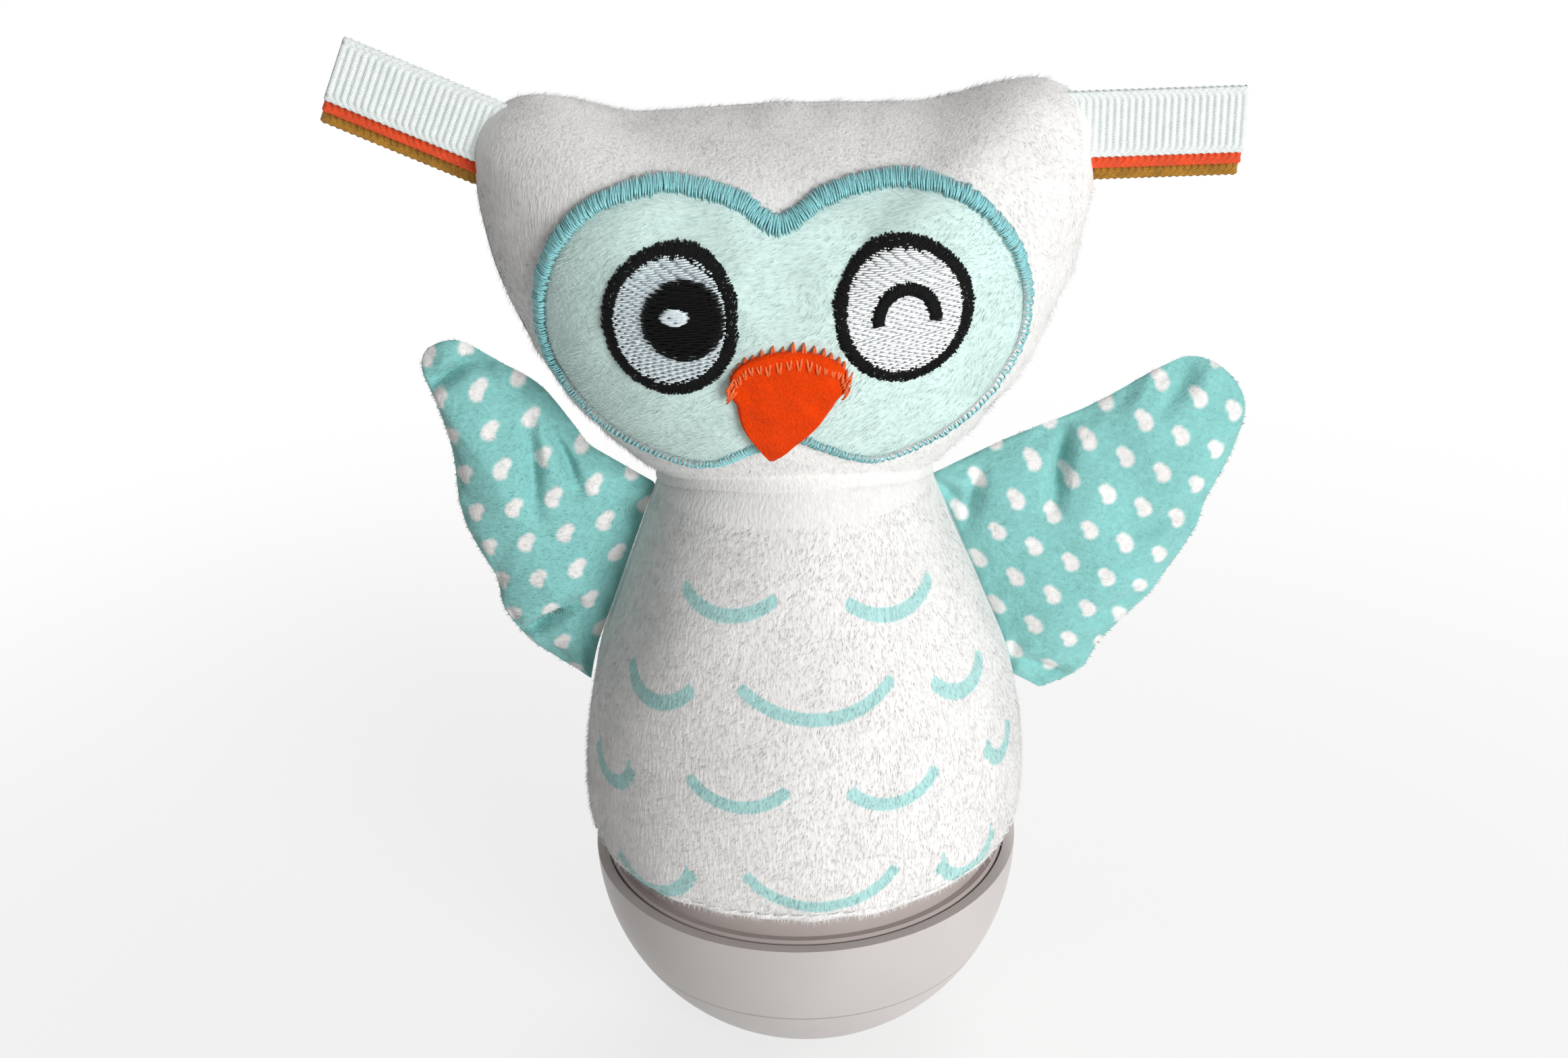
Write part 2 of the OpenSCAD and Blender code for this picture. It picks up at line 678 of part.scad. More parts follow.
module body_panel() {
    color(plush_white)
        rotate_extrude(angle = 180, $fn = 96)
            polygon(concat([[hem_inner_r, hem_z]], body_outline(0),
                backward([for (p = body_outline(cloth_t)) if (p[0] > hem_inner_r || p[1] > belly_z) p])));
}

module body_front() {
    rotate([0, 0, 180])
        body_panel();
}

module body_back() {
    body_panel();
}

module body_wadding() {
    out = cloth_t + fit;
    in = out + wadding_t;
    color(wadding_white)
        rotate_extrude($fn = 96)
            polygon(concat([for (p = body_outline(out)) if (p[1] > collar_top + fit) p],
                backward([for (p = body_outline(in)) if (p[1] > collar_top + fit) p])));
}

module neck_socket(gap) {
    translate([0, 0, ball_joint_z])
        sphere(r = ball_joint_r + gap, $fn = 72);
}

function head_grid(k, inset, side) = concat([head_place(0, 0, inset, side)],
    [for (j = [1 : k]) for (i = [0 : head_turns - 1])
        head_place(turned(i), ring_share(j, k), inset, side)]);

module head_panel() {
    color(plush_white)
        difference() {
            polyhedron(points = concat(head_grid(head_rings, 0, -1), head_grid(head_rings, cloth_t, -1)),
                faces = sheet_faces(head_turns, head_rings));
            neck_socket(neck_gap);
        }
}

module head_front() {
    head_panel();
}

module head_back() {
    mirror([0, 1, 0])
        head_panel();
}

module pillow(inset) {
    polyhedron(points = concat(head_grid(head_core_rings, inset, -1), head_grid(head_core_rings, inset, 1)),
        faces = closed_faces(head_turns, head_core_rings));
}

module head_wadding() {
    color(wadding_white)
        difference() {
            pillow(cloth_t + fit);
            pillow(cloth_t + fit + wadding_t);
            neck_socket(neck_gap + fit);
        }
}

// a patch that lies on the head, between two heights over its surface
module lying(edge, middle, rings, low, high) {
    n = len(edge);
    top = concat([on_head(middle, high)],
        [for (j = [1 : rings]) for (p = edge) on_head(middle + (p - middle) * j / rings, high)]);
    under = concat([on_head(middle, low)],
        [for (j = [1 : rings]) for (p = edge) on_head(middle + (p - middle) * j / rings, low)]);
    polyhedron(points = concat(top, under), faces = sheet_faces(n, rings));
}

// a band that lies on the head between two matching lines
module lying_band(outer, inner, low, high) {
    polyhedron(points = concat([for (p = inner) on_head(p, high)], [for (p = outer) on_head(p, high)],
        [for (p = outer) on_head(p, low)], [for (p = inner) on_head(p, low)]),
        faces = hoop_faces(len(outer)));
}

function oval(c, w, h) =
    [for (k = [0 : oval_turns - 1]) let (a = 360 * k / oval_turns) c + [w * sin(a), h * cos(a)]];

module face_patch() {
    color(patch_aqua)
        lying([for (p = patch_inner) toward(p, patch_middle, fit)], patch_middle, patch_rings, patch_lift,
            patch_face);
}

module face_border() {
    color(teal_thread)
        lying_band(patch_edge, patch_inner, patch_lift, border_lift);
}

left_eye = [face_x - eye_x, head_z + eye_up];
right_eye = [face_x + eye_x, head_z + eye_up];
left_pupil = left_eye + [pupil_x, pupil_up];
eye_fill_w = eye_half_w - eye_ring_w;
eye_fill_h = eye_half_h - eye_ring_w;

module eye_ring(c) {
    color(black_thread)
        lying_band(oval(c, eye_half_w, eye_half_h), oval(c, eye_fill_w, eye_fill_h),
            eye_back, eye_face + fit);
}

module eye_fill(c) {
    color(silver_thread)
        lying(oval(c, eye_fill_w - fit, eye_fill_h - fit), c, oval_rings, eye_back, eye_face);
}

module left_eye_ring() {
    eye_ring(left_eye);
}

module left_eye_fill() {
    eye_fill(left_eye);
}

module left_eye_pupil() {
    color(black_thread)
        lying(oval(left_pupil, pupil_half_w, pupil_half_h), left_pupil, oval_rings, pupil_back, pupil_face);
}

module left_eye_glint() {
    glint = left_pupil + [glint_x, glint_up];
    color(silver_thread)
        lying(oval(glint, glint_half_w, glint_half_h), glint, oval_rings - 1, glint_back, glint_face);
}

module right_eye_ring() {
    eye_ring(right_eye);
}

module right_eye_fill() {
    eye_fill(right_eye);
}

function wink_place(a, out) = right_eye
    + [-cos(a) * (wink_half_w + out), sin(a) * (wink_h + out) - wink_drop];

module right_eye_wink() {
    places = [for (out = [wink_w / 2, -wink_w / 2]) for (k = [0 : arc_steps])
        wink_place(180 * k / arc_steps, out)];
    color(black_thread)
        polyhedron(points = concat([for (p = places) on_head(p, pupil_face)],
            [for (p = places) on_head(p, pupil_back)]),
            faces = plate_faces(arc_steps, 1));
}

function beak_root_place(i, v) = let (a = 90 - 180 * i / beak_columns) [face_x - beak_half_w * sin(a),
    beak_fold_z + fold_gap / 2 + (beak_root_h - fold_gap / 2) * pow(max(cos(a), 0), 0.7) * v + fit * v];

module beak_root() {
    rows = 3;
    places = [for (j = [0 : rows]) for (i = [0 : beak_columns]) beak_root_place(i, 1 - j / rows)];
    color(felt_orange)
        polyhedron(points = concat([for (p = places) on_head(p, beak_lift + felt_t)],
            [for (p = places) on_head(p, beak_lift)]), faces = plate_faces(beak_columns, rows));
}

module beak_stitches() {
    low = beak_lift + felt_t + fit;
    places = [for (j = [0 : 1]) for (i = [1 : beak_columns - 1]) let (p = beak_root_place(i, 1))
        toward(p, [face_x, beak_fold_z], j * beak_stitch_w)];
    color(felt_orange)
        polyhedron(points = concat([for (p = places) on_head(p, low + thread_t)],
            [for (p = places) on_head(p, low)]), faces = plate_faces(beak_columns - 2, 1));
}

function beak_place(i, v) = [face_x + beak_lean * v + beak_half_w * (2 * i / beak_columns - 1)
    * max(pow(1 - v, 0.8), 0.12), beak_fold_z - fold_gap / 2 - (beak_l - fold_gap / 2) * v];

module beak_flap() {
    spots = [for (j = [0 : beak_rows]) for (i = [0 : beak_columns]) let (v = j / beak_rows)
        [beak_place(i, v), v]];
    color(felt_orange)
        polyhedron(points = concat(
            [for (s = spots) on_head(s[0], beak_lift + felt_t + beak_tip_lift * s[1])],
            [for (s = spots) on_head(s[0], beak_lift + beak_tip_lift * s[1])]),
            faces = plate_faces(beak_columns, beak_rows));
}

module wing_panel(shares, middle, span, root) {
    edge = wing_edge(shares, span, root);
    c = [neck_r + middle[0] * span, neck_z + middle[1] * root];
    color(plush_aqua)
        polyhedron(points = concat(wing_grid(edge, c, wing_rings, 0, -1),
            wing_grid(edge, c, wing_rings, cloth_t, -1)),
            faces = sheet_faces(len(edge), wing_rings));
}

module wing_wadding(shares, middle, span, root) {
    edge = wing_edge(shares, span, root);
    c = [neck_r + middle[0] * span, neck_z + middle[1] * root];
    color(wadding_white)
        polyhedron(points = concat(wing_grid(edge, c, wing_core_rings, cloth_t + fit, -1),
            wing_grid(edge, c, wing_core_rings, cloth_t + fit, 1)),
            faces = closed_faces(len(edge), wing_core_rings));
}

module right_wing_front() {
    wing_panel(right_wing_shares, right_wing_middle_shares, right_wing_span, right_wing_root_l);
}

module right_wing_back() {
    mirror([0, 1, 0])
        right_wing_front();
}

module right_wing_wadding() {
    wing_wadding(right_wing_shares, right_wing_middle_shares, right_wing_span, right_wing_root_l);
}

module left_wing_front() {
    mirror([1, 0, 0])
        wing_panel(left_wing_shares, left_wing_middle_shares, left_wing_span, left_wing_root_l);
}

module left_wing_back() {
    mirror([0, 1, 0])
        left_wing_front();
}

module left_wing_wadding() {
    mirror([1, 0, 0])
        wing_wadding(left_wing_shares, left_wing_middle_shares, left_wing_span, left_wing_root_l);
}

loop_t = ribbon_t * 2 + loop_gap;

module loop_profile() {
    difference() {
        union() {
            translate([0, -loop_t / 2])
                square([ribbon_l - loop_t / 2, loop_t]);
            translate([ribbon_l - loop_t / 2, 0])
                circle(r = loop_t / 2, $fn = 24);
        }
        translate([-overrun, -loop_gap / 2])
            square([ribbon_l - loop_t / 2 + overrun, loop_gap]);
        translate([ribbon_l - loop_t / 2, 0])
            circle(r = loop_gap / 2, $fn = 24);
    }
}

// one loop of a bundle, its root at the origin and its length along x
module ribbon_loop(k) {
    translate([0, (k - 1) * (loop_t + loop_space_w), (1 - k) * loop_drop - ribbon_w / 2])
        linear_extrude(height = ribbon_w)
            loop_profile();
}

module ribbon_seat(turn, lean) {
    s = head_share(turn);
    translate([head_half_w * s * sin(turn), 0, head_z + head_half_h * s * cos(turn)])
        rotate([0, -lean, 0])
            translate([ribbon_gap, 0, 0])
                children();
}

module left_ribbon_white() {
    color(ribbon_white_colour)
        mirror([1, 0, 0])
            ribbon_seat(ribbon_seat_angle, ribbon_lean_angle)
                ribbon_loop(0);
}

module left_ribbon_orange() {
    color(ribbon_orange_colour)
        mirror([1, 0, 0])
            ribbon_seat(ribbon_seat_angle, ribbon_lean_angle)
                ribbon_loop(1);
}

module left_ribbon_gold() {
    color(ribbon_gold_colour)
        mirror([1, 0, 0])
            ribbon_seat(ribbon_seat_angle, ribbon_lean_angle)
                ribbon_loop(2);
}

module right_ribbon_white() {
    color(ribbon_white_colour)
        ribbon_seat(ribbon_level_angle, 0)
            ribbon_loop(0);
}

module right_ribbon_orange() {
    color(ribbon_orange_colour)
        ribbon_seat(ribbon_level_angle, 0)
            ribbon_loop(1);
}

module right_ribbon_gold() {
    color(ribbon_gold_colour)
        ribbon_seat(ribbon_level_angle, 0)
            ribbon_loop(2);
}

base_dish();
base_band();
collar();
case_screws();
ballast();
chime_plate();
chime_rods();
chime_screws();
hammer_pin();
hammer();
hem_cord();
body_front();
body_back();
body_wadding();
head_front();
head_back();
head_wadding();
face_patch();
face_border();
left_eye_ring();
left_eye_fill();
left_eye_pupil();
left_eye_glint();
right_eye_ring();
right_eye_fill();
right_eye_wink();
beak_root();
beak_stitches();
beak_flap();
left_wing_front();
left_wing_back();
left_wing_wadding();
right_wing_front();
right_wing_back();
right_wing_wadding();
left_ribbon_white();
left_ribbon_orange();
left_ribbon_gold();
right_ribbon_white();
right_ribbon_orange();
right_ribbon_gold();
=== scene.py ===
from math import cos, pi, radians, sin

import bpy
import numpy as np
from mathutils import Matrix, Vector


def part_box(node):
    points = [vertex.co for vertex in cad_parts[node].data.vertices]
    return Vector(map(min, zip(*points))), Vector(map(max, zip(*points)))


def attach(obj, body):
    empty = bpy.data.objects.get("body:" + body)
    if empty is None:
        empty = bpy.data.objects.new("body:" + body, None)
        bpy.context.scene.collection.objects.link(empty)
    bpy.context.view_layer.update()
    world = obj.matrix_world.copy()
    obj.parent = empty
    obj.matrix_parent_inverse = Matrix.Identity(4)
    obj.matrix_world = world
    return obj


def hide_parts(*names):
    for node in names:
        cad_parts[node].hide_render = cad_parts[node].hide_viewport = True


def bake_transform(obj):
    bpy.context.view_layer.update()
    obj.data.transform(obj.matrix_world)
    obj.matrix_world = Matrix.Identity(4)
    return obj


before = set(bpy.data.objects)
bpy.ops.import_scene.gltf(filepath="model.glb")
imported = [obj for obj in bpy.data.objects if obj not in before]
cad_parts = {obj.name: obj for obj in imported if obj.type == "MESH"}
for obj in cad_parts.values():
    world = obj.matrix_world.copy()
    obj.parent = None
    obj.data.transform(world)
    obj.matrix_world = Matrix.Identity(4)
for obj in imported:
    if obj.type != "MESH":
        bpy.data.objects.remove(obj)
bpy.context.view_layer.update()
scene = bpy.context.scene
mm = 0.001

cameraSet = {
    "place": (-2.2, -307.0, 242.0),  # mm, the photograph's point of view
    "pitch": 24.05,  # degrees looking down
    "roll": 2.0,  # degrees clockwise
    "lens": 41.67,
    "sensor": 36.0,
}


def makeCamera(look):
    data = bpy.data.cameras.new("camera")
    data.lens = look["lens"]
    data.sensor_width = look["sensor"]
    data.clip_start = 0.01
    camera = bpy.data.objects.new("camera", data)
    tilt = Matrix.Rotation(radians(90 - look["pitch"]), 4, "X")
    turn = Matrix.Rotation(radians(-look["roll"]), 4, "Z")
    camera.matrix_world = Matrix.Translation(Vector(look["place"]) * mm) @ tilt @ turn
    scene.collection.objects.link(camera)
    scene.camera = camera


makeCamera(cameraSet)
print("camera placed")


# shader sums: a wire is a socket that takes part in Python expressions
class Wire:
    def __init__(self, graph, socket):
        self.graph = graph
        self.socket = socket

    def __add__(self, other):
        return self.graph.sum("ADD", self, other)

    def __radd__(self, other):
        return self.graph.sum("ADD", other, self)

    def __sub__(self, other):
        return self.graph.sum("SUBTRACT", self, other)

    def __rsub__(self, other):
        return self.graph.sum("SUBTRACT", other, self)

    def __mul__(self, other):
        return self.graph.sum("MULTIPLY", self, other)

    def __rmul__(self, other):
        return self.graph.sum("MULTIPLY", other, self)

    def __truediv__(self, other):
        return self.graph.sum("DIVIDE", self, other)

    def __pow__(self, other):
        return self.graph.sum("POWER", self, other)

    def __abs__(self):
        return self.graph.sum("ABSOLUTE", self)


shaderSockets = {
    "colour": "Base Color", "rough": "Roughness", "normal": "Normal", "metal": "Metallic",
    "sheen": "Sheen Weight", "sheenRough": "Sheen Roughness", "specular": "Specular IOR Level",
}


class Graph:
    def __init__(self, name, owner=None):  # a new material, or the world given as owner
        self.owner = owner or bpy.data.materials.new(name)
        self.owner.use_nodes = True
        self.tree = self.owner.node_tree
        self.shader = self.tree.nodes.get("Principled BSDF")

    def node(self, kind, settings=None, inputs=None, out=0):
        made = self.tree.nodes.new("ShaderNode" + kind)
        for key, value in (settings or {}).items():
            setattr(made, key, value)
        for key, value in (inputs or {}).items():
            self.join(made.inputs[key], value)
        return Wire(self, made.outputs[out])

    def join(self, socket, value):
        if isinstance(value, Wire):
            self.tree.links.new(value.socket, socket)
        else:
            socket.default_value = value

    def sum(self, operation, *values):
        return self.node("Math", {"operation": operation}, dict(enumerate(values)))

    def mix(self, factor, low, high):
        return self.node("Mix", {"data_type": "RGBA"}, {0: factor, 6: low, 7: high}, 2)

    def place(self):  # the piece's own coordinates in millimetres
        own = self.node("TexCoord", out=3)
        return self.node("VectorMath", {"operation": "SCALE"}, {0: own, "Scale": 1 / mm})

    def axes(self, place):
        split = self.node("SeparateXYZ", inputs={0: place})
        return [Wire(self, s) for s in split.socket.node.outputs]

    def stretch(self, place, scale):
        return self.node("VectorMath", {"operation": "MULTIPLY"}, {0: place, 1: scale})

    def noise(self, place, wave, detail=2.0, rough=0.5):
        return self.node("TexNoise", None,
                         {"Vector": place, "Scale": 1 / wave, "Detail": detail, "Roughness": rough})

    def step(self, value, low, high):  # smooth rise from 0 at low to 1 at high
        return self.node("MapRange", {"interpolation_type": "SMOOTHSTEP"}, {0: value, 1: low, 2: high})

    def bump(self, height, depth, strength=1.0):
        return self.node("Bump", None, {"Height": height, "Distance": depth * mm, "Strength": strength})

    def finish(self, **values):
        for key, value in values.items():
            self.join(self.shader.inputs[shaderSockets[key]], value)
        return self.owner


def colour(code):  # a hex colour as linear light
    parts = [int(code[k:k + 2], 16) / 255 for k in (0, 2, 4)]
    return [c / 12.92 if c < 0.04045 else ((c + 0.055) / 1.055) ** 2.4 for c in parts] + [1.0]


def shade(code, share):  # the same colour, darker
    return [c * share for c in colour(code)[:3]] + [1.0]


# meshes: arrays of points in mm, faces as arrays of corner numbers
def makeMesh(name, points, faces, material):
    mesh = bpy.data.meshes.new(name)
    rows = [row for block in faces for row in np.asarray(block).tolist()]
    mesh.from_pydata((np.asarray(points) * mm).tolist(), [], rows)
    mesh.polygons.foreach_set("use_smooth", np.ones(len(mesh.polygons), bool))
    mesh.materials.append(material)
    mesh.update()
    piece = bpy.data.objects.new(name, mesh)
    scene.collection.objects.link(piece)
    return piece


def gridFaces(rows, columns, first=0, around=True, flip=False):  # quads of a grid, closed around or not
    j, i = np.meshgrid(np.arange(rows - 1), np.arange(columns if around else columns - 1), indexing="ij")
    k = (i + 1) % columns
    quads = np.stack([j * columns + i, j * columns + k, (j + 1) * columns + k, (j + 1) * columns + i], -1)
    quads = quads.reshape(-1, 4) + first
    return quads[:, ::-1] if flip else quads


def fanFaces(hub, ring, flip=False):  # triangles from one point to a ring
    ring = np.asarray(ring)
    fan = np.stack([np.full(len(ring), hub), ring, np.roll(ring, -1)], -1)
    return fan[:, ::-1] if flip else fan


def shellFaces(columns, rings, flip=False):  # two cupped sides, hub and rings each, sharing the last ring
    back = 1 + rings * columns
    seam = np.arange(back - columns, back)
    last = seam + (rings - 1) * columns + 1
    faces = [fanFaces(0, np.arange(1, 1 + columns), flip=True), gridFaces(rings, columns, 1),
             fanFaces(back, np.arange(back + 1, back + 1 + columns)),
             gridFaces(rings - 1, columns, back + 1, flip=True),
             np.stack([seam, np.roll(seam, -1), np.roll(last, -1), last], -1)]
    return [f[:, ::-1] for f in faces] if flip else faces


def slabFaces(rows, columns, flip=False):  # a grid on top, one below and the wall between their edges
    m = rows * columns
    grid = np.arange(m).reshape(rows, columns)
    rim = np.concatenate([grid[0], grid[1:, -1], grid[-1, -2::-1], grid[-2:0:-1, 0]])
    faces = [gridFaces(rows, columns, 0, around=False, flip=True), gridFaces(rows, columns, m, around=False),
             np.stack([rim, np.roll(rim, -1), np.roll(rim, -1) + m, rim + m], -1)]
    return [f[:, ::-1] for f in faces] if flip else faces


def turned(r, angle, z):  # points round the upright axis
    return np.stack([r * np.cos(angle), r * np.sin(angle), z + 0 * angle], -1)


def unit(v):
    return v / np.maximum(np.linalg.norm(v, axis=-1, keepdims=True), 1e-9)


def spline(a, b, c, d, t):  # smooth line from b to c, with a before and d after them
    square, cube = (2 * a - 5 * b + 4 * c - d) * t * t, (3 * b - a - 3 * c + d) * t ** 3
    return 0.5 * (2 * b + (c - a) * t + square + cube)


def lumps(points, wave, seed, count=10):  # soft uneven swelling, about -1 to 1
    draw = np.random.default_rng(seed)
    total = 0
    for _ in range(count):
        way = unit(draw.normal(size=3)) * 2 * pi / (wave * draw.uniform(0.7, 1.5))
        total = total + np.sin(points @ way + draw.uniform(0, 2 * pi))
    return total / count ** 0.5


def closedLine(places, steps):  # smooth closed line through a few places
    p = np.asarray(places, float)
    t = (np.arange(steps) / steps)[:, None]
    before, after, second = (np.roll(p, k, 0) for k in (1, -1, -2))
    return np.concatenate([spline(before[i], p[i], after[i], second[i], t) for i in range(len(p))])


def evenly(line, pitch):  # points at even steps along a closed line
    line = np.concatenate([line, line[:1]])
    run = np.concatenate([[0], np.cumsum(np.linalg.norm(np.diff(line, axis=0), axis=1))])
    count = max(int(round(run[-1] / pitch)), 2)
    at = np.linspace(0, run[-1], count, endpoint=False)
    return np.stack([np.interp(at, run, line[:, k]) for k in range(line.shape[1])], -1)


def ringsTo(edge, centre, shares):  # a hub and rings around it, and how far out each point is
    rings = centre + (edge - centre) * shares[:, None, None]
    points = np.concatenate([centre[None], rings.reshape(-1, 2)])
    return points, np.concatenate([[0], np.repeat(shares, len(edge))])


plushSet = {
    "white": "F3F1EF",
    "aqua": "8CCDC9",
    "patch": "D6EEE9",
    "print": "B2DFDC",
    "streak": 0.55,  # mm, width of a streak of nap
    "mottle": 11.0,  # mm, size of the brushed areas
    "relief": 0.22,  # mm
}

# the feather marks printed on the belly: middle and half span in degrees, height of the ends and sag in mm,
# and how far the right end is turned up in degrees
featherMarks = (
    (-25, 16, 104.4, 2.8, 0), (33, 16, 103, 3, 0),
    (-45, 12, 88, 3.2, 0), (4, 21, 89.8, 4.2, 0), (50, 10, 86.5, 2.8, 0),
    (-58, 8, 69.5, 3.4, 0), (-17.5, 12, 73, 3.2, 0), (22.5, 11, 72.3, 3.1, 0), (60, 6.5, 70.6, 2.8, 0),
    (-42, 12.5, 52.5, 4.2, 13), (3, 17.5, 56, 5.6, 0), (43.5, 9.2, 53.2, 3.8, 0),
)
# reach: radius at which a degree becomes a length; sideWidth: how much wider a mark is at 60 degrees round
featherSet = {"width": 2.1, "soft": 0.5, "reach": 39.0, "sideWidth": 0.35}

# the dots printed on the wings
dotSet = {
    "pitch": 7.4,
    "reach": 0.85,  # half the length of a dot's middle line
    "radius": 1.2,
    "taper": 0.2,
    "soft": 0.9,
    "right": {"turn": -25.0, "lean": -59.0, "start": (2.0, 0.5), "bend": -0.3},
    "left": {"turn": 12.0, "lean": 236.0, "start": (1.0, 3.0), "bend": 0.3},
}


def turnedFlat(a, b, angle):
    return a * cos(angle) + b * sin(angle), b * cos(angle) - a * sin(angle)


def featherPaint(graph, place):
    x, y, z = graph.axes(place)
    u = graph.sum("ARCTAN2", x, 0 - y) * featherSet["reach"]
    soft = featherSet["soft"]
    mask = 0
    for middle, span, height, sag, turn in featherMarks:
        half = featherSet["width"] / 2 * (1 + featherSet["sideWidth"] * abs(middle) / 60)
        chord = radians(span) * featherSet["reach"]
        r = (chord * chord + sag * sag) / (2 * sag)
        p, q = turnedFlat(u - radians(middle) * featherSet["reach"], z - height, radians(turn))
        up = q + sag - r
        line = abs((p * p + up * up) ** 0.5 - r)
        past = abs(p) - chord
        tip = (past * past + q * q) ** 0.5
        inside = graph.step(past, 0.01, -0.01) * graph.step(up, 0.01, -0.01)
        away = tip + inside * (line - tip)
        mask = graph.sum("MAXIMUM", mask, graph.step(away, half + soft / 2, half - soft / 2))
    return graph.mix(mask, colour(plushSet["white"]), colour(plushSet["print"]))


def dotPaint(graph, place, side):
    look, pitch = dotSet[side], dotSet["pitch"]
    x, _, z = graph.axes(place)
    a, b = turnedFlat(x, z, radians(look["turn"]))
    a, b = ((graph.sum("FRACT", v / pitch + k) - 0.5) * pitch for v, k in zip((a, b), look["start"]))
    p, q = turnedFlat(a, b, radians(look["lean"] - look["turn"]))
    along = graph.sum("MINIMUM", graph.sum("MAXIMUM", p, -dotSet["reach"]), dotSet["reach"])
    dp, dq = p - along, q - look["bend"] * along * along
    away = (dp * dp + dq * dq) ** 0.5 - dotSet["taper"] * along - dotSet["radius"]
    mask = graph.step(away, dotSet["soft"] / 2, -dotSet["soft"] / 2)
    return graph.mix(mask, colour(plushSet["aqua"]), colour(plushSet["white"]))


def plush(name, paint, nap=(1.0, 1.0, 0.22), dusk=0.82):  # brushed short pile, streaked along its nap
    graph = Graph(name)
    place = graph.place()
    streak = graph.noise(graph.stretch(place, nap), plushSet["streak"], 3.0, 0.6)
    mottle = graph.noise(place, plushSet["mottle"], 2.0)
    tone = graph.step(streak * 0.6 + mottle * 0.4, 0.25, 0.75)
    base = paint(graph, place) if callable(paint) else colour(paint)
    shaded = graph.node("Mix", {"data_type": "RGBA", "blend_type": "MULTIPLY"},
                        {0: 1.0, 6: base, 7: [dusk, dusk, dusk, 1.0]}, 2)
    return graph.finish(
        colour=graph.mix(tone, shaded, base),
        rough=0.95 - 0.15 * mottle,
        normal=graph.bump(streak + mottle * 0.5, plushSet["relief"]),
        sheen=0.25, sheenRough=0.5, specular=0.2)


def thread(name, code, gloss=0.42, deep=0.7, shine=0.5):  # twisted sewing thread
    graph = Graph(name)
    place = graph.place()
    twist = graph.noise(place, 0.45, 3.0, 0.65)
    dark = shade(code, deep)
    return graph.finish(
        colour=graph.mix(graph.step(twist, 0.3, 0.7), dark, colour(code)),
        rough=gloss + 0.15 * twist,
        normal=graph.bump(twist, 0.08),
        specular=shine)


def felt(name, code):
    graph = Graph(name)
    place = graph.place()
    fibre = graph.noise(place, 0.45, 4.0, 0.7)
    cloud = graph.noise(place, 3.5, 2.0)
    tone = graph.step(fibre * 0.7 + cloud * 0.3, 0.3, 0.7)
    dark = shade(code, 0.72)
    return graph.finish(
        colour=graph.mix(tone, dark, colour(code)), rough=0.92, normal=graph.bump(fibre, 0.3),
        sheen=0.04, specular=0.1)


weaveSet = {"lean": 0.35, "along": 0.42, "across": 0.36}  # slant, and pitch of the threads in mm


def ribbon(name, code, gloss, deep, metal=0.0):  # fine woven threads across and along
    graph = Graph(name)
    place = graph.place()
    x, _, z = graph.axes(place)
    along = graph.sum("SINE", (x + z * weaveSet["lean"]) * (2 * pi / weaveSet["along"]))
    weave = along * graph.sum("SINE", (z - x * weaveSet["lean"]) * (2 * pi / weaveSet["across"]))
    wear = graph.noise(place, 1.6, 3.0)
    dark = shade(code, deep)
    return graph.finish(
        colour=graph.mix(graph.step(weave * 0.15 + wear, 0.25, 0.8), dark, colour(code)),
        rough=gloss + 0.2 * wear, metal=metal, normal=graph.bump(weave * 0.5 + wear, 0.1), specular=0.5)


jointSet = {"outer": 0.28, "inner": 0.1, "show": 0.55, "colour": "8E8785"}  # half widths in mm


def mouldedPlastic(name, code, joint=None):  # satin plastic with a faint orange-peel and a dull joint line
    graph = Graph(name)
    place = graph.place()
    peel = graph.noise(place, 0.8, 2.0)
    cloud = graph.noise(place, 18.0, 2.0)
    base = graph.mix(graph.step(cloud, 0.3, 0.7), shade(code, 0.95), colour(code))
    height = peel * 0.1
    if joint:
        line = graph.step(abs(graph.axes(place)[2] - joint), jointSet["outer"], jointSet["inner"])
        base = graph.mix(line * jointSet["show"], base, colour(jointSet["colour"]))
        height = height - line
    return graph.finish(colour=base, rough=0.34 + 0.1 * cloud, specular=0.5,
                        normal=graph.bump(height, 0.2, 0.6))


def castMetal(name, code, gloss, grain, metal=1.0):
    graph = Graph(name)
    place = graph.place()
    pits = graph.noise(place, grain, 3.0)
    dark = shade(code, 0.7)
    return graph.finish(colour=graph.mix(pits, dark, colour(code)), metal=metal, rough=gloss + 0.2 * pits,
                        normal=graph.bump(pits, 0.12))


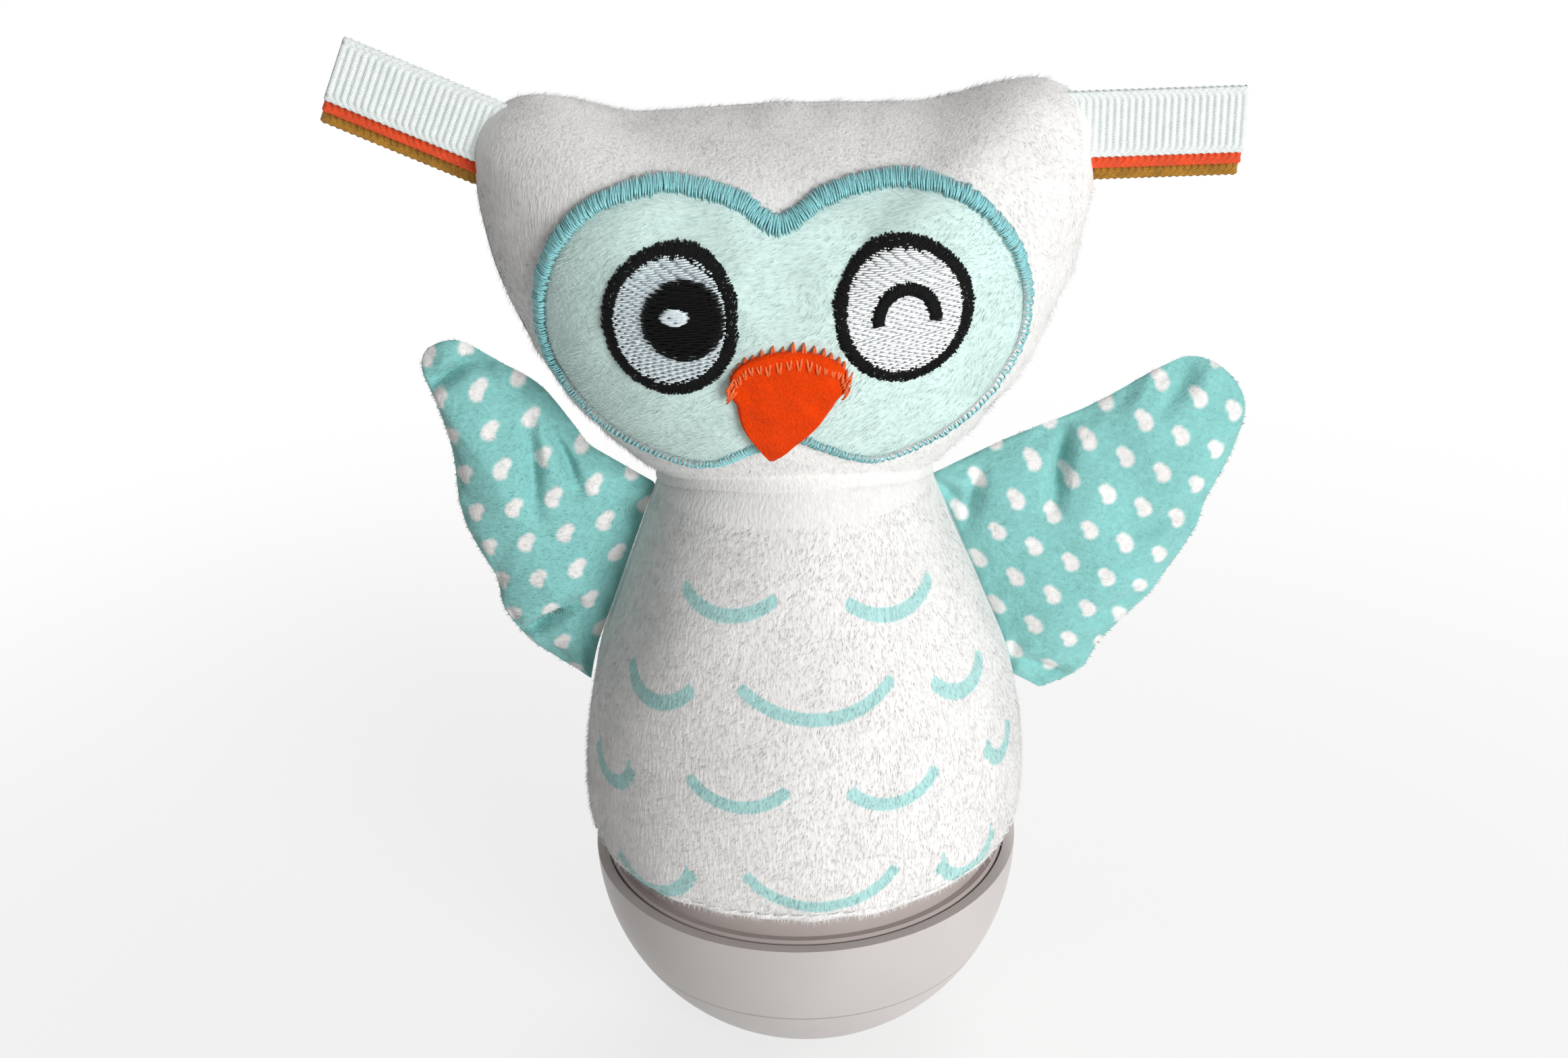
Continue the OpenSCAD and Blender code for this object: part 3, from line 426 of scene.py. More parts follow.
finishes = {
    "plush_white": plush("plushWhite", plushSet["white"]),
    "plush_belly": plush("plushBelly", featherPaint),
    "plush_right_wing": plush("plushRightWing", lambda g, p: dotPaint(g, p, "right"), (0.4, 1.0, 0.6), 0.78),
    "plush_left_wing": plush("plushLeftWing", lambda g, p: dotPaint(g, p, "left"), (0.4, 1.0, 0.6), 0.78),
    "patch_aqua": plush("plushPatch", plushSet["patch"], (0.3, 1.0, 0.7), 0.74),
    "teal_thread": thread("tealThread", "98DBDF", 0.32, 0.72),
    "black_thread": thread("blackThread", "040405", 0.6, 0.6, 0.15),
    "silver_thread": thread("silverThread", "E4EFF3", 0.3, 0.78),
    # grey for the sheet under the eye fills: painted shade that shows between the stitch ends
    "painted_shade_thread": thread("paintedShadeThread", "98A2A7", 0.5, 0.8),
    "white_thread": thread("whiteThread", "F4F5F6", 0.4, 0.92),
    "felt_orange": felt("feltOrange", "F44400"),
    "orange_thread": thread("orangeThread", "F56A2A", 0.35, 0.6),
    "ribbon_white": ribbon("ribbonWhite", "EDF4F2", 0.5, 0.9),
    "ribbon_orange": ribbon("ribbonOrange", "F4511A", 0.5, 0.75),
    "ribbon_gold": ribbon("ribbonGold", "B5801F", 0.32, 0.62, 0.35),
    "base_plastic": mouldedPlastic("basePlastic", "C2BCB9", 22.0),
    # the collar gets a darker colour than the base plastic: painted shade of the hem that hangs over it
    "collar_painted_shade_plastic": mouldedPlastic("collarPaintedShadePlastic", "ADA29F"),
    "inner_plastic": mouldedPlastic("innerPlastic", "9EA1A6"),
    "ballast_iron": castMetal("ballastIron", "4E4E50", 0.55, 0.9, 0.8),
    "steel": castMetal("turnedSteel", "B8BABF", 0.28, 0.5),
    "cord": thread("hemCord", "E6E3DF", 0.7, 0.8),
}
print("finishes made")

cadFinishes = {
    "base_dish": "base_plastic", "base_band": "base_plastic", "collar": "collar_painted_shade_plastic",
    "case_screws": "steel", "ballast": "ballast_iron", "chime_plate": "inner_plastic", "chime_rods": "steel",
    "chime_screws": "steel", "hammer_pin": "steel", "hammer": "steel",
}
for nodeName, finishName in cadFinishes.items():
    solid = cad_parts[nodeName]
    solid.data.materials.clear()
    solid.data.materials.append(finishes[finishName])
print("base and chime finished")

headSet = {
    "halfWidth": 52.5,
    "halfHeight": 37.0,
    "depth": 30.0,
    "middle": 150.0,
    "swell": 0.62,
    # outline: shares of the half sizes at even turns from the top round to the chin
    "shares": (0.90, 0.91, 0.945, 1.03, 1.27, 1.275, 1.155, 1.05, 0.975, 0.92,
               0.89, 0.88, 0.89, 0.905, 0.935, 0.985, 1.025, 1.06, 1.08),
    "turns": 320,
    "rings": 70,
    "lump": 0.55,
    "lumpWave": 34.0,
    "lumpSeed": 11,
    "pucker": 0.28,  # mm, small folds along the seam
    "puckerReach": 0.09,  # share of the way to the seam
    "drawnIn": 0.9,
    "foldRadius": 60,
    "foldWave": 14,
    "foldSeed": 5,
    "neckCentre": 107.24,
    "neckRadius": 27.07,
}


def headShare(turn):
    table = np.array(headSet["shares"])
    n = len(table) - 1
    place = np.abs(turn) / pi * n
    k = np.floor(place).astype(int)

    def pick(index):
        index = np.abs(index)
        return table[np.where(index > n, 2 * n - index, index)]
    return spline(pick(k - 1), pick(k), pick(k + 1), pick(k + 2), place - k)


def headReach(x, z):  # 0 in the middle of a panel, 1 at the seam
    u = x / headSet["halfWidth"]
    v = (z - headSet["middle"]) / headSet["halfHeight"]
    return np.minimum(np.hypot(u, v) / headShare(np.arctan2(u, v)), 1)


def headSwell(t):
    return headSet["depth"] * (1 - np.minimum(t * t, 1)) ** headSet["swell"]


def headDepth(x, z):
    return headSwell(headReach(x, z))


def headLump(points, t):
    return headSet["lump"] * lumps(points, headSet["lumpWave"], headSet["lumpSeed"]) * (1 - t ** 4)


def onHead(x, z, lift):  # places on the front of the head, raised by lift
    x, z, lift = np.broadcast_arrays(np.asarray(x, float), np.asarray(z, float), np.asarray(lift, float))
    probe = 0.1
    slopeX = (headDepth(x + probe, z) - headDepth(x - probe, z)) / (2 * probe)
    slopeZ = (headDepth(x, z + probe) - headDepth(x, z - probe)) / (2 * probe)
    out = unit(np.stack([-slopeX, -np.ones_like(x), -slopeZ], -1))
    flat = np.stack([x, -headDepth(x, z), z], -1)
    return flat + (lift + headLump(flat, headReach(x, z)))[..., None] * out, out


def headSide(side):  # rings of points from the middle of one panel out to the seam
    n, k = headSet["turns"], headSet["rings"]
    turn = np.linspace(-pi, pi, n, endpoint=False)[None, :]
    t = np.sin(pi / 2 * np.arange(1, k + 1) / k)[:, None]
    share = headShare(turn) * t
    x = headSet["halfWidth"] * share * np.sin(turn)
    z = headSet["middle"] + headSet["halfHeight"] * share * np.cos(turn)
    y = headSwell(t) + 0 * turn
    points = np.stack([x, side * y, z], -1).reshape(-1, 3)
    flatT = (t + 0 * turn).reshape(-1)
    lean = unit(points - np.array([0, 0, headSet["middle"]]))
    gather = np.exp(-((1 - flatT) / headSet["puckerReach"]) ** 2) * (flatT < 0.9999)  # none on the seam
    circle = np.stack([np.sin(turn + 0 * t), np.cos(turn + 0 * t), 0 * t + 0 * turn], -1).reshape(-1, 3)
    fold = lumps(circle * headSet["foldRadius"], headSet["foldWave"], headSet["foldSeed"])
    pucker = headSet["pucker"] * gather * (fold - headSet["drawnIn"])
    points = points + lean * (headLump(points, flatT) + pucker)[:, None]
    crown = np.array([[0, side * headSet["depth"], headSet["middle"]]])
    crown = crown + np.array([[0, side, 0]]) * headLump(crown, np.zeros(1))[:, None]
    return np.concatenate([crown, points])


def outOfNeck(points):  # the hollow under the head that sits on the neck
    centre = np.array([0, 0, headSet["neckCentre"]])
    away = np.linalg.norm(points - centre, axis=1, keepdims=True)
    pushed = centre + (points - centre) / away * headSet["neckRadius"]
    return np.where(away < headSet["neckRadius"], pushed, points)


def makeHead():
    n, k = headSet["turns"], headSet["rings"]
    front, back = headSide(-1), headSide(1)
    back = back[:-n]  # the seam ring is shared
    points = outOfNeck(np.concatenate([front, back]))
    head = makeMesh("head", points, shellFaces(n, k), finishes["plush_white"])
    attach(head, "head")
    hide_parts("head_front", "head_back", "head_wadding")
    return head


head = makeHead()
print("head stuffed")

bodySet = {
    "hem": (39.2, 46.4),  # radius and height, mm
    "belly": (42.4, 54.5),
    "shoulder": (37.5, 84.5),
    "neck": (24.6, 117.0),
    "hemPulls": (0.95, 0.02, 0.35),  # shares that set how full the cloth is above the hem
    "sidePulls": (0.19, 0.27),
    "steps": (24, 60, 40, 16),  # along hem, side, neck and dome
    "clothThick": 1.6,
    "roll": ((1, 5), (1, 1.2), (0.85, 0.35), (0.45, 0.02)),  # turned-in hem: share of the thickness, height
    "liningFrom": 6,
    "turns": 360,
    "lump": 0.45,
    "lumpWave": 30.0,
    "plainTop": (6, 14),  # swelling ends this far below the neck and fades over the second height
    "foldRadius": 60,
    "gather": 0.35,
    "gatherReach": 3.2,
    "gatherWave": 16,
    "hemSway": 0.3,
    "swayReach": 2,
    "swayWave": 26,
    "swellRise": 4,
    "seam": 0.55,
    "seamWidth": 1.3,
    "hemLine": 2.0,  # height of the hem's row of stitches
    "hemGroove": 0.4,
    "grooveWidth": 0.45,
    "seeds": {"swell": 23, "gather": 31, "sway": 37},
}


def bend(c, t):  # curve from the first of four places to the last
    c = np.asarray(c, float)
    t = t[:, None]
    return c[0] * (1 - t) ** 3 + c[1] * 3 * t * (1 - t) ** 2 + c[2] * 3 * t * t * (1 - t) + c[3] * t ** 3


def bodyOutline():  # radius and height from the hem up to the top
    hemSteps, sideSteps, neckSteps, domeSteps = bodySet["steps"]
    (hr, hz), (br, bz), (sr, sz), (nr, nz) = (bodySet[k] for k in ("hem", "belly", "shoulder", "neck"))
    slope = (sr - nr) / (nz - sz)
    out, low, high = bodySet["hemPulls"]
    first, last = bodySet["sidePulls"]
    rise, reach = bz - hz, sz - bz
    hemLine = bend([(hr, hz), (hr + (br - hr) * out, hz + rise * low), (br, hz + rise * high), (br, bz)],
                   np.linspace(0, 1, hemSteps, endpoint=False))
    sideLine = bend([(br, bz), (br, bz + reach * first),
                     (sr + slope * reach * last, sz - reach * last), (sr, sz)],
                    np.linspace(0, 1, sideSteps, endpoint=False))
    neckLine = np.linspace((sr, sz), (nr, nz), neckSteps, endpoint=False)
    lean = np.arctan(slope)
    ball = nr / np.cos(lean)
    angle = np.linspace(lean, pi / 2, domeSteps, endpoint=False)
    dome = np.stack([ball * np.cos(angle), nz - nr * slope + ball * np.sin(angle)], -1)
    return np.concatenate([hemLine, sideLine, neckLine, dome]), nz - nr * slope + ball


def bodyRadius(z):
    line, _ = bodyOutline()
    return np.interp(z, line[:, 1], line[:, 0])


def makeBody():
    line, top = bodyOutline()
    hemR, hemZ = bodySet["hem"]
    thick = bodySet["clothThick"]
    seeds = bodySet["seeds"]
    roll = np.array([[hemR - thick * inward, hemZ + up] for inward, up in bodySet["roll"]])
    lining = line[::-1][::3] - np.array([thick, 0])
    lining = lining[(lining[:, 0] > 0.5) & (lining[:, 1] > hemZ + bodySet["liningFrom"])]
    profile = np.concatenate([lining, roll, line])
    n = bodySet["turns"]
    angle = np.arange(n) / n * 2 * pi
    r = profile[:, :1] + 0 * angle
    z = profile[:, 1:] + 0 * angle
    ring = turned(bodySet["foldRadius"], angle, 0)
    outer = [np.zeros(len(lining)), np.linspace(0, 1, len(roll)), np.ones(len(line))]
    outer = np.concatenate(outer)[:, None]  # 0 on the lining, 1 on the cloth that shows
    plain, fade = bodySet["plainTop"]
    belowNeck = np.clip((bodySet["neck"][1] - plain - z) / fade, 0, 1)
    flat = turned(r, angle, z)
    above = np.clip(z - hemZ, 0, None)
    swell = lumps(flat.reshape(-1, 3), bodySet["lumpWave"], seeds["swell"])
    swell = bodySet["lump"] * swell.reshape(r.shape)
    folds = lumps(ring, bodySet["gatherWave"], seeds["gather"])
    gather = bodySet["gather"] * np.exp(-above / bodySet["gatherReach"]) * folds
    seam = bodySet["seam"] * np.exp(-(flat[..., 1] / bodySet["seamWidth"]) ** 2)
    hemRise = np.clip((z - hemZ) / bodySet["swellRise"], 0, 1)
    sewn = bodySet["hemGroove"] * np.exp(-((z - hemZ - bodySet["hemLine"]) / bodySet["grooveWidth"]) ** 2)
    r = r + outer * belowNeck * (swell * hemRise + gather - seam - sewn)
    sway = lumps(ring, bodySet["swayWave"], seeds["sway"])
    z = z + bodySet["hemSway"] * outer * np.exp(-above / bodySet["swayReach"]) * sway
    points = turned(r, angle, z).reshape(-1, 3)
    m = len(profile)
    points = np.concatenate([points, [[0, 0, top], [0, 0, top - thick]]])
    faces = [gridFaces(m, n, 0), fanFaces(m * n, np.arange((m - 1) * n, m * n)),
             fanFaces(m * n + 1, np.arange(n), flip=True)]
    body = makeMesh("body", points, faces, finishes["plush_belly"])
    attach(body, "base")
    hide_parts("body_front", "body_back", "body_wadding")
    return body


body = makeBody()
print("body stuffed")

wingSet = {
    "swell": 0.62,
    "depth": 6.0,
    "gap": 0.1,  # how near the sewn root comes to the body
    "drop": 1.8,
    "rings": 44,
    "puff": 0.7,
    "puffWave": 16,
    "pucker": 0.7,  # small folds along the seam
    "puckerAt": (0.93, 0.07),  # middle and width, as shares of the way to the seam
    "puckerWave": 6,
    "drawnIn": 0.6,
    "foldRadius": 30,
    "seeds": (41, 47),  # of puff and pucker
    "bendOver": (0.4, 4.5),  # mm from the root where the cloth would start and stop bending; no bend is made from them
    "edgeStep": 0.8,
    "panelApart": 20,  # sets apart the swelling of the two panels
    "creaseShares": (0.3, 0.7),  # depth at a crease's ends, and what its middle adds
    "creaseEnds": (0.08, 0.92),
    "foldPast": 2.5,  # how far past the middle a deep crease may reach
    "right": {
        "side": 1, "span": 58.0, "root": 42.0, "rootLow": 0.0, "middle": (0.53, -0.3),
        "shares": ((0.23, 0.10), (0.50, 0.245), (0.69, 0.39), (0.81, 0.452), (0.92, 0.38), (0.985, 0.22),
                   (0.95, 0.0), (0.885, -0.2), (0.845, -0.37), (0.745, -0.60), (0.69, -0.70), (0.57, -0.88),
                   (0.50, -1.035), (0.37, -1.125)),
        # creases: from, to (x, z in mm), width and depth
        "creases": (((50, 127), (47, 110), 1.5, 4.4), ((34, 117), (31, 105), 1.3, 3.2),
                    ((74, 136), (66, 127), 1.7, 3.2), ((40, 78), (54, 71), 1.4, 3.6),
                    ((56, 86), (66, 92), 1.6, 2.2), ((62, 104), (74, 108), 1.9, 1.8)),
    },
    "left": {
        "side": -1, "span": 41.5, "root": 36.0, "rootLow": 4.0, "middle": (0.6, -0.14),
        "shares": ((0.30, 0.17), (0.475, 0.48), (0.66, 0.63), (0.82, 0.74), (0.95, 0.705),
                   (0.985, 0.6), (0.945, 0.44), (0.895, 0.17), (0.885, -0.15), (0.84, -0.34),
                   (0.765, -0.53), (0.735, -0.74), (0.64, -0.91), (0.51, -1.04)),
        "creases": (((-50, 140), (-57, 140), 1.1, 5.5), ((-56, 140.5), (-65, 135.5), 1.1, 6.0),
                    ((-41, 93), (-57, 83), 1.3, 4.4), ((-39, 116), (-43, 127), 1.3, 3.8),
                    ((-47, 129), (-47, 112), 1.6, 2.6), ((-55, 98), (-63, 92), 1.5, 2.0)),
    },
}


def wingOutline(look):  # closed outline in x and z, root line first
    nr, nz = bodySet["neck"]
    rootZ = nz - wingSet["drop"] - (look["root"] + look["rootLow"]) * np.linspace(1, 0, 40)
    root = np.stack([bodyRadius(rootZ) + wingSet["gap"], rootZ], -1)
    s = np.array(look["shares"])
    s = np.concatenate([s[:1], s, s[-1:]])
    t = (np.arange(10) / 10)[:, None]
    parts = [spline(*s[i:i + 4], t) for i in range(len(s) - 3)]
    free = np.concatenate(parts + [s[-1:]])
    free = np.array([nr, nz]) + free * np.array([look["span"], look["root"]])
    lead = np.linspace(root[-1], free[0], 8)[1:-1]
    tail = np.linspace(free[-1], root[0], 14)[1:-1]
    return np.concatenate([root, lead, free, tail])


def creaseDepth(points, creases):  # deepest in the middle of each crease
    total = np.zeros(len(points))
    low, more = wingSet["creaseShares"]
    for start, end, width, depth in creases:
        a, b = np.array(start, float), np.array(end, float)
        way = b - a
        t = np.clip((points - a) @ way / (way @ way), 0, 1)
        away = np.linalg.norm(points - a - t[:, None] * way, axis=1)
        share = low + more * np.sin(pi * np.clip(t, *wingSet["creaseEnds"]))
        total += depth * np.exp(-(away / width) ** 2) * share
    return total


def makeWing(which):
    look = wingSet[which]
    side, k = look["side"], wingSet["rings"]
    (puffSeed, puckerSeed), (puckerAt, puckerWide) = wingSet["seeds"], wingSet["puckerAt"]
    edge = evenly(wingOutline(look), wingSet["edgeStep"])
    n = len(edge)
    nr, nz = bodySet["neck"]
    centre = np.array([nr + look["middle"][0] * look["span"], nz + look["middle"][1] * look["root"]])
    flat, flatT = ringsTo(edge, centre, np.sin(pi / 2 * np.arange(1, k + 1) / k))
    turn = np.concatenate([[0], np.tile(np.arange(n) / n * 2 * pi, k)])
    sides = []
    for face in (-1, 1):
        thick = wingSet["depth"] * (1 - np.minimum(flatT ** 2, 1)) ** wingSet["swell"]
        spot = np.stack([flat[:, 0] * side, 0 * turn + face * wingSet["panelApart"], flat[:, 1]], -1)
        puff = wingSet["puff"] * lumps(spot, wingSet["puffWave"], puffSeed + side)
        thick = thick + puff * (1 - flatT ** 3)
        ring = np.stack([np.sin(turn), np.cos(turn), 0 * turn], -1) * wingSet["foldRadius"]
        folds = lumps(ring, wingSet["puckerWave"], puckerSeed + face) + wingSet["drawnIn"]
        thick = thick - wingSet["pucker"] * folds * np.exp(-((puckerAt - flatT) / puckerWide) ** 2)
        if face < 0:
            dip = creaseDepth(np.stack([flat[:, 0] * side, flat[:, 1]], -1), look["creases"])
            thick = thick - dip * (1 - flatT ** 6)
        floor = wingSet["foldPast"] * (flatT ** 2 - 1) if face < 0 else 0
        sides.append(np.stack([flat[:, 0] * side, face * np.maximum(thick, floor), flat[:, 1]], -1))
    front, back = sides[0], sides[1][:-n]
    faces = shellFaces(n, k, flip=side < 0)
    finish = finishes["plush_" + which + "_wing"]
    wing = makeMesh(which + "_wing", np.concatenate([front, back]), faces, finish)
    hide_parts(*(which + "_wing_" + part for part in ("front", "back", "wadding")))
    return wing


wings = {which: makeWing(which) for which in ("left", "right")}
print("wings stuffed")


def bendAtRoot(piece, which):  # works out where the cloth would turn over near the sewn root, but makes no bend: it only bakes the piece's placement into its mesh
    look = wingSet[which]
    nz = bodySet["neck"][1] - wingSet["drop"]
    top, low = (np.array([look["side"] * bodyRadius(z), 0, z]) for z in (nz, nz - look["root"]))
    way = unit(top - low)
    out = np.array([way[2], 0, -way[0]]) * look["side"]
    middle = (top + low) / 2
    first, last = (tuple((middle + away * out) * mm) for away in wingSet["bendOver"])
    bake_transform(piece)


patchSet = {
    "middle": (-1.2, 152.0),
    "half": (40.0, 23.8),
    # outline of one side from the notch over the brow down to the chin, as shares of the half sizes
    "shares": ((0, 0.67), (0.19, 0.83), (0.49, 0.92), (0.77, 0.80), (0.96, 0.35), (0.976, -0.29),
               (0.737, -0.796), (0.373, -0.996), (0.14, -0.83), (0, -0.71)),
    "thick": 1.5,
    "edgeStep": 0.7,
    "rings": 36,
    "hub": (0, 3),  # how far below the middle the rings start
    "lump": 0.25,
    "lumpWave": 9,
    "lumpSeed": 53,
    "lift": (0.1, 0.25),  # of the underside and of the edge over the head
}


def patchOutline():  # from the notch down the right side to the chin and back up the left
    right = np.array(patchSet["shares"])
    left = right[-2:0:-1] * (-1, 1)
    line = closedLine(np.concatenate([right, left]), 24)
    return np.array(patchSet["middle"]) + line * np.array(patchSet["half"])


def makePatch():
    edge = evenly(patchOutline(), patchSet["edgeStep"])
    n, k = len(edge), patchSet["rings"]
    centre = np.array(patchSet["middle"]) - patchSet["hub"]
    flat, flatT = ringsTo(edge, centre, (np.arange(1, k + 1) / k) ** 0.8)
    soft = lumps(np.insert(flat, 1, 0, axis=1), patchSet["lumpWave"], patchSet["lumpSeed"])
    puff = patchSet["thick"] * (1 - flatT ** 14) ** 0.5 + patchSet["lump"] * soft * (1 - flatT ** 6)
    low, high = patchSet["lift"]
    top, _ = onHead(flat[:, 0], flat[:, 1], high + puff)
    under, _ = onHead(flat[:, 0], flat[:, 1], low)
    points = np.concatenate([top, under[:-n]])
    patch = makeMesh("face_patch_cloth", points, shellFaces(n, k), finishes["patch_aqua"])
    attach(patch, "head")
    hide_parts("face_patch")
    return patch


patch = makePatch()
print("face patch laid")


def sweep(name, paths, outs, radius, finish, sides=5):  # threads: closed tubes along paths
    paths, outs = np.asarray(paths, float), np.asarray(outs, float)
    count, steps, _ = paths.shape
    along = unit(np.gradient(paths, axis=1))
    across = unit(np.cross(along, outs))
    up = np.cross(across, along)
    radius = np.broadcast_to(np.asarray(radius, float), (count, steps))
    angle = np.arange(sides) / sides * 2 * pi
    ring = across[:, :, None] * np.cos(angle)[:, None] + up[:, :, None] * np.sin(angle)[:, None]
    points = (paths[:, :, None] + ring * radius[:, :, None, None]).reshape(-1, 3)
    own = gridFaces(steps, sides, flip=True)
    start = np.arange(count)[:, None, None] * steps * sides
    walls = (own[None] + start).reshape(-1, 4)
    cap = np.arange(sides)[None] + np.arange(count)[:, None] * steps * sides
    return makeMesh(name, points, [walls, cap, cap[:, ::-1] + (steps - 1) * sides], finish)


def stitches(ends, lifts, hump, radius, steps=7):  # arched threads on the head between pairs of places
    ends = np.asarray(ends, float)  # count, 2, (x, z)
    lifts = np.asarray(lifts, float)
    t = np.linspace(0, 1, steps)
    flat = ends[:, :1] + (ends[:, 1:] - ends[:, :1]) * t[None, :, None]
    arch = np.asarray(hump)[..., None] * (1 - (2 * t - 1) ** 4)
    lift = lifts[:, :1] + (lifts[:, 1:] - lifts[:, :1]) * t + arch
    points, outs = onHead(flat[..., 0], flat[..., 1], lift)
    thin = radius * np.where((t < 0.01) | (t > 0.99), 0.45, 1.0)
    return points, outs, np.broadcast_to(thin, lift.shape)


def sewn(name, groups, finish, node):
    paths, outs, radii = (np.concatenate(parts) for parts in zip(*groups))
    piece = sweep(name, paths, outs, radii, finishes[finish])
    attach(piece, "head")
    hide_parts(node)


borderSet = {
    "thread": 0.14,
    "fine": 0.1,  # step along the edge
    "outward": 0.52,  # share of a stitch outside the edge, and inside it
    "inward": 0.48,
    "stray": 0.12,
    "wobble": 0.06,
    "lifts": (0.25, 1.5),  # of the outer and the inner end
    "hump": (0.8, 1.1),
    "closePitch": 0.41,  # stitches closer than this have others crossing below them
    "underHump": (0.3, 0.45),
    # share of the way from notch to chin: stitch width and pitch in mm
    "right": ((0.0, 3.4, 0.4), (0.3, 3.0, 0.4), (0.42, 2.6, 0.44), (0.5, 2.0, 0.8), (0.82, 1.8, 0.95),
              (0.9, 2.1, 0.6), (1.0, 2.6, 0.5)),
    "left": ((0.0, 3.4, 0.4), (0.3, 3.0, 0.38), (0.6, 2.6, 0.4), (0.72, 2.0, 0.8), (0.84, 2.0, 0.7),
             (0.92, 2.5, 0.5), (1.0, 2.6, 0.45)),
}


def makeBorder():
    draw = np.random.default_rng(61)
    fine, stray, wobble = borderSet["fine"], borderSet["stray"], borderSet["wobble"]
    low, high = borderSet["lifts"]
    line = evenly(patchOutline(), fine)
    half = len(line) // 2
    groups = []
    for side, run in (("right", line[:half + 1]), ("left", np.concatenate([line[:1], line[:half - 1:-1]]))):
        table = np.array(borderSet[side])
        way = unit(np.gradient(run, axis=0))
        out = np.stack([-way[:, 1], way[:, 0]], -1) * (-1 if side == "left" else 1)
        at, places = 0.0, []
        while at < len(run) - 1:
            places.append(at)
            at += np.interp(at / len(run), table[:, 0], table[:, 2]) / fine / 2
        places = np.array(places)
        k = np.clip(np.round(places).astype(int), 0, len(run) - 1)
        width = np.interp(places / len(run), table[:, 0], table[:, 1])
        outer = run[k] + out[k] * (width * borderSet["outward"] + draw.normal(0, stray, len(k)))[:, None]
        inner = run[k] - out[k] * (width * borderSet["inward"] + draw.normal(0, stray, len(k)))[:, None]
        outer = outer + draw.normal(0, wobble, outer.shape)
        inner = inner + draw.normal(0, wobble, inner.shape)
        odd = np.arange(len(k)) % 2 == 1
        first = np.where(odd[:, None], outer, inner)
        last = np.where(odd[:, None], np.roll(inner, -1, axis=0), np.roll(outer, -1, axis=0))
        ends = np.stack([first, last], 1)[:-1]
        lifts = np.where(odd[:-1, None], [[low, high]], [[high, low]])
        hump = draw.uniform(*borderSet["hump"], len(ends))
        groups.append(stitches(ends, lifts, hump, borderSet["thread"]))
        close = np.interp(places[:-1] / len(run), table[:, 0], table[:, 2]) < borderSet["closePitch"]
        under = (ends[:, ::-1] * 0.92 + ends.mean(axis=1, keepdims=True) * 0.08)[close]
        hump = draw.uniform(*borderSet["underHump"], len(under))
        groups.append(stitches(under, lifts[close, ::-1], hump, borderSet["thread"]))
    sewn("border_stitches", groups, "teal_thread", "face_border")


eyeSet = {
    "left": (-18.7, 154.8),
    "right": (18.0, 155.0),
    "half": {"left": (10.8, 11.9), "right": (11.3, 11.9)},
    "ring": 2.6,
    "thread": 0.16,
    "base": 1.7,  # height of the patch that the eyes are sewn on
    "pupil": ((2.2, 0.5), (6.2, 6.2)),
    "glint": ((1.0, 1.3), (2.2, 1.3)),
    "wink": ((4.6, 5.1), 2.2, (0.3, -1.4)),  # half span and rise, width, place in the eye
    "winkTurns": (-pi / 2 - 0.05, pi / 2 + 0.05),
    "winkLift": 0.8,
    "pitch": {"ring": 0.2, "wink": 0.18},
    "inset": {"left": 0.12, "right": 0.03},  # bare ends between the stitches of a row
    "fillShare": 0.7,  # of the ring's width, where the white ends
    "backing": (0.1, 0.3),  # lift and thickness of the grey layer of painted shade below the stitches
    "pupilBacking": (0.6, 0.5),
    "pupilShare": 0.93,
}
padSet = {"turns": 72, "rings": 8, "sunk": 0.15}
satinSet = {"jitter": 0.004, "lean": 0.03, "leanStray": 0.012, "jag": 0.15, "hump": 0.55, "layerRise": 0.16,
            "humpStray": 0.08, "sunk": 0.5}
fillSet = {
    "stagger": 0.37,  # share of a stitch from one row to the next
    "stray": 0.12,
    "shortest": 0.5,
    "tilt": 0.05,
    "humpStray": 0.06,
    # step from row to row, stitch length, ragged ends, lift over the patch, arch and thread radius
    "white": (0.32, 2.3, 0.2, 0.25, 0.28, 0.17),
    "pupil": (0.26, 5.4, 0.55, 0.55, 0.75, 0.16),
    "glint": (0.24, 9.0, 0.4, 1.2, 0.55, 0.16),
}


def radialStitches(centre, half, width, pitch, seed, turns=(0, 2 * pi), base=0.4):  # satin round an oval
    draw = np.random.default_rng(seed)
    span = abs(turns[1] - turns[0])
    count = int(span * np.hypot(*half) / 2 ** 0.5 / pitch)
    a = np.linspace(*turns, count, endpoint=span < 6.28) + draw.normal(0, satinSet["jitter"], count)
    jag, stray = satinSet["jag"], satinSet["humpStray"]
    groups = []
    for layer in (0, 1):
        lean = satinSet["lean"] * (2 * layer - 1) + draw.normal(0, satinSet["leanStray"], count)
        inner = np.array(half) - width / 2 - draw.normal(0, jag, count)[:, None] * 0.6
        outer = np.array(half) + width / 2 + draw.normal(0, jag, count)[:, None]
        low = np.stack([np.sin(a - lean), np.cos(a - lean)], -1) * inner
        high = np.stack([np.sin(a + lean), np.cos(a + lean)], -1) * outer
        ends = np.array(centre) + np.stack([low, high], 1)
        lifts = np.full((count, 2), eyeSet["base"] + base - satinSet["sunk"])
        hump = satinSet["hump"] + satinSet["layerRise"] * layer + draw.uniform(-stray, stray, count)
        groups.append(stitches(ends, lifts, hump, eyeSet["thread"]))
    return groups


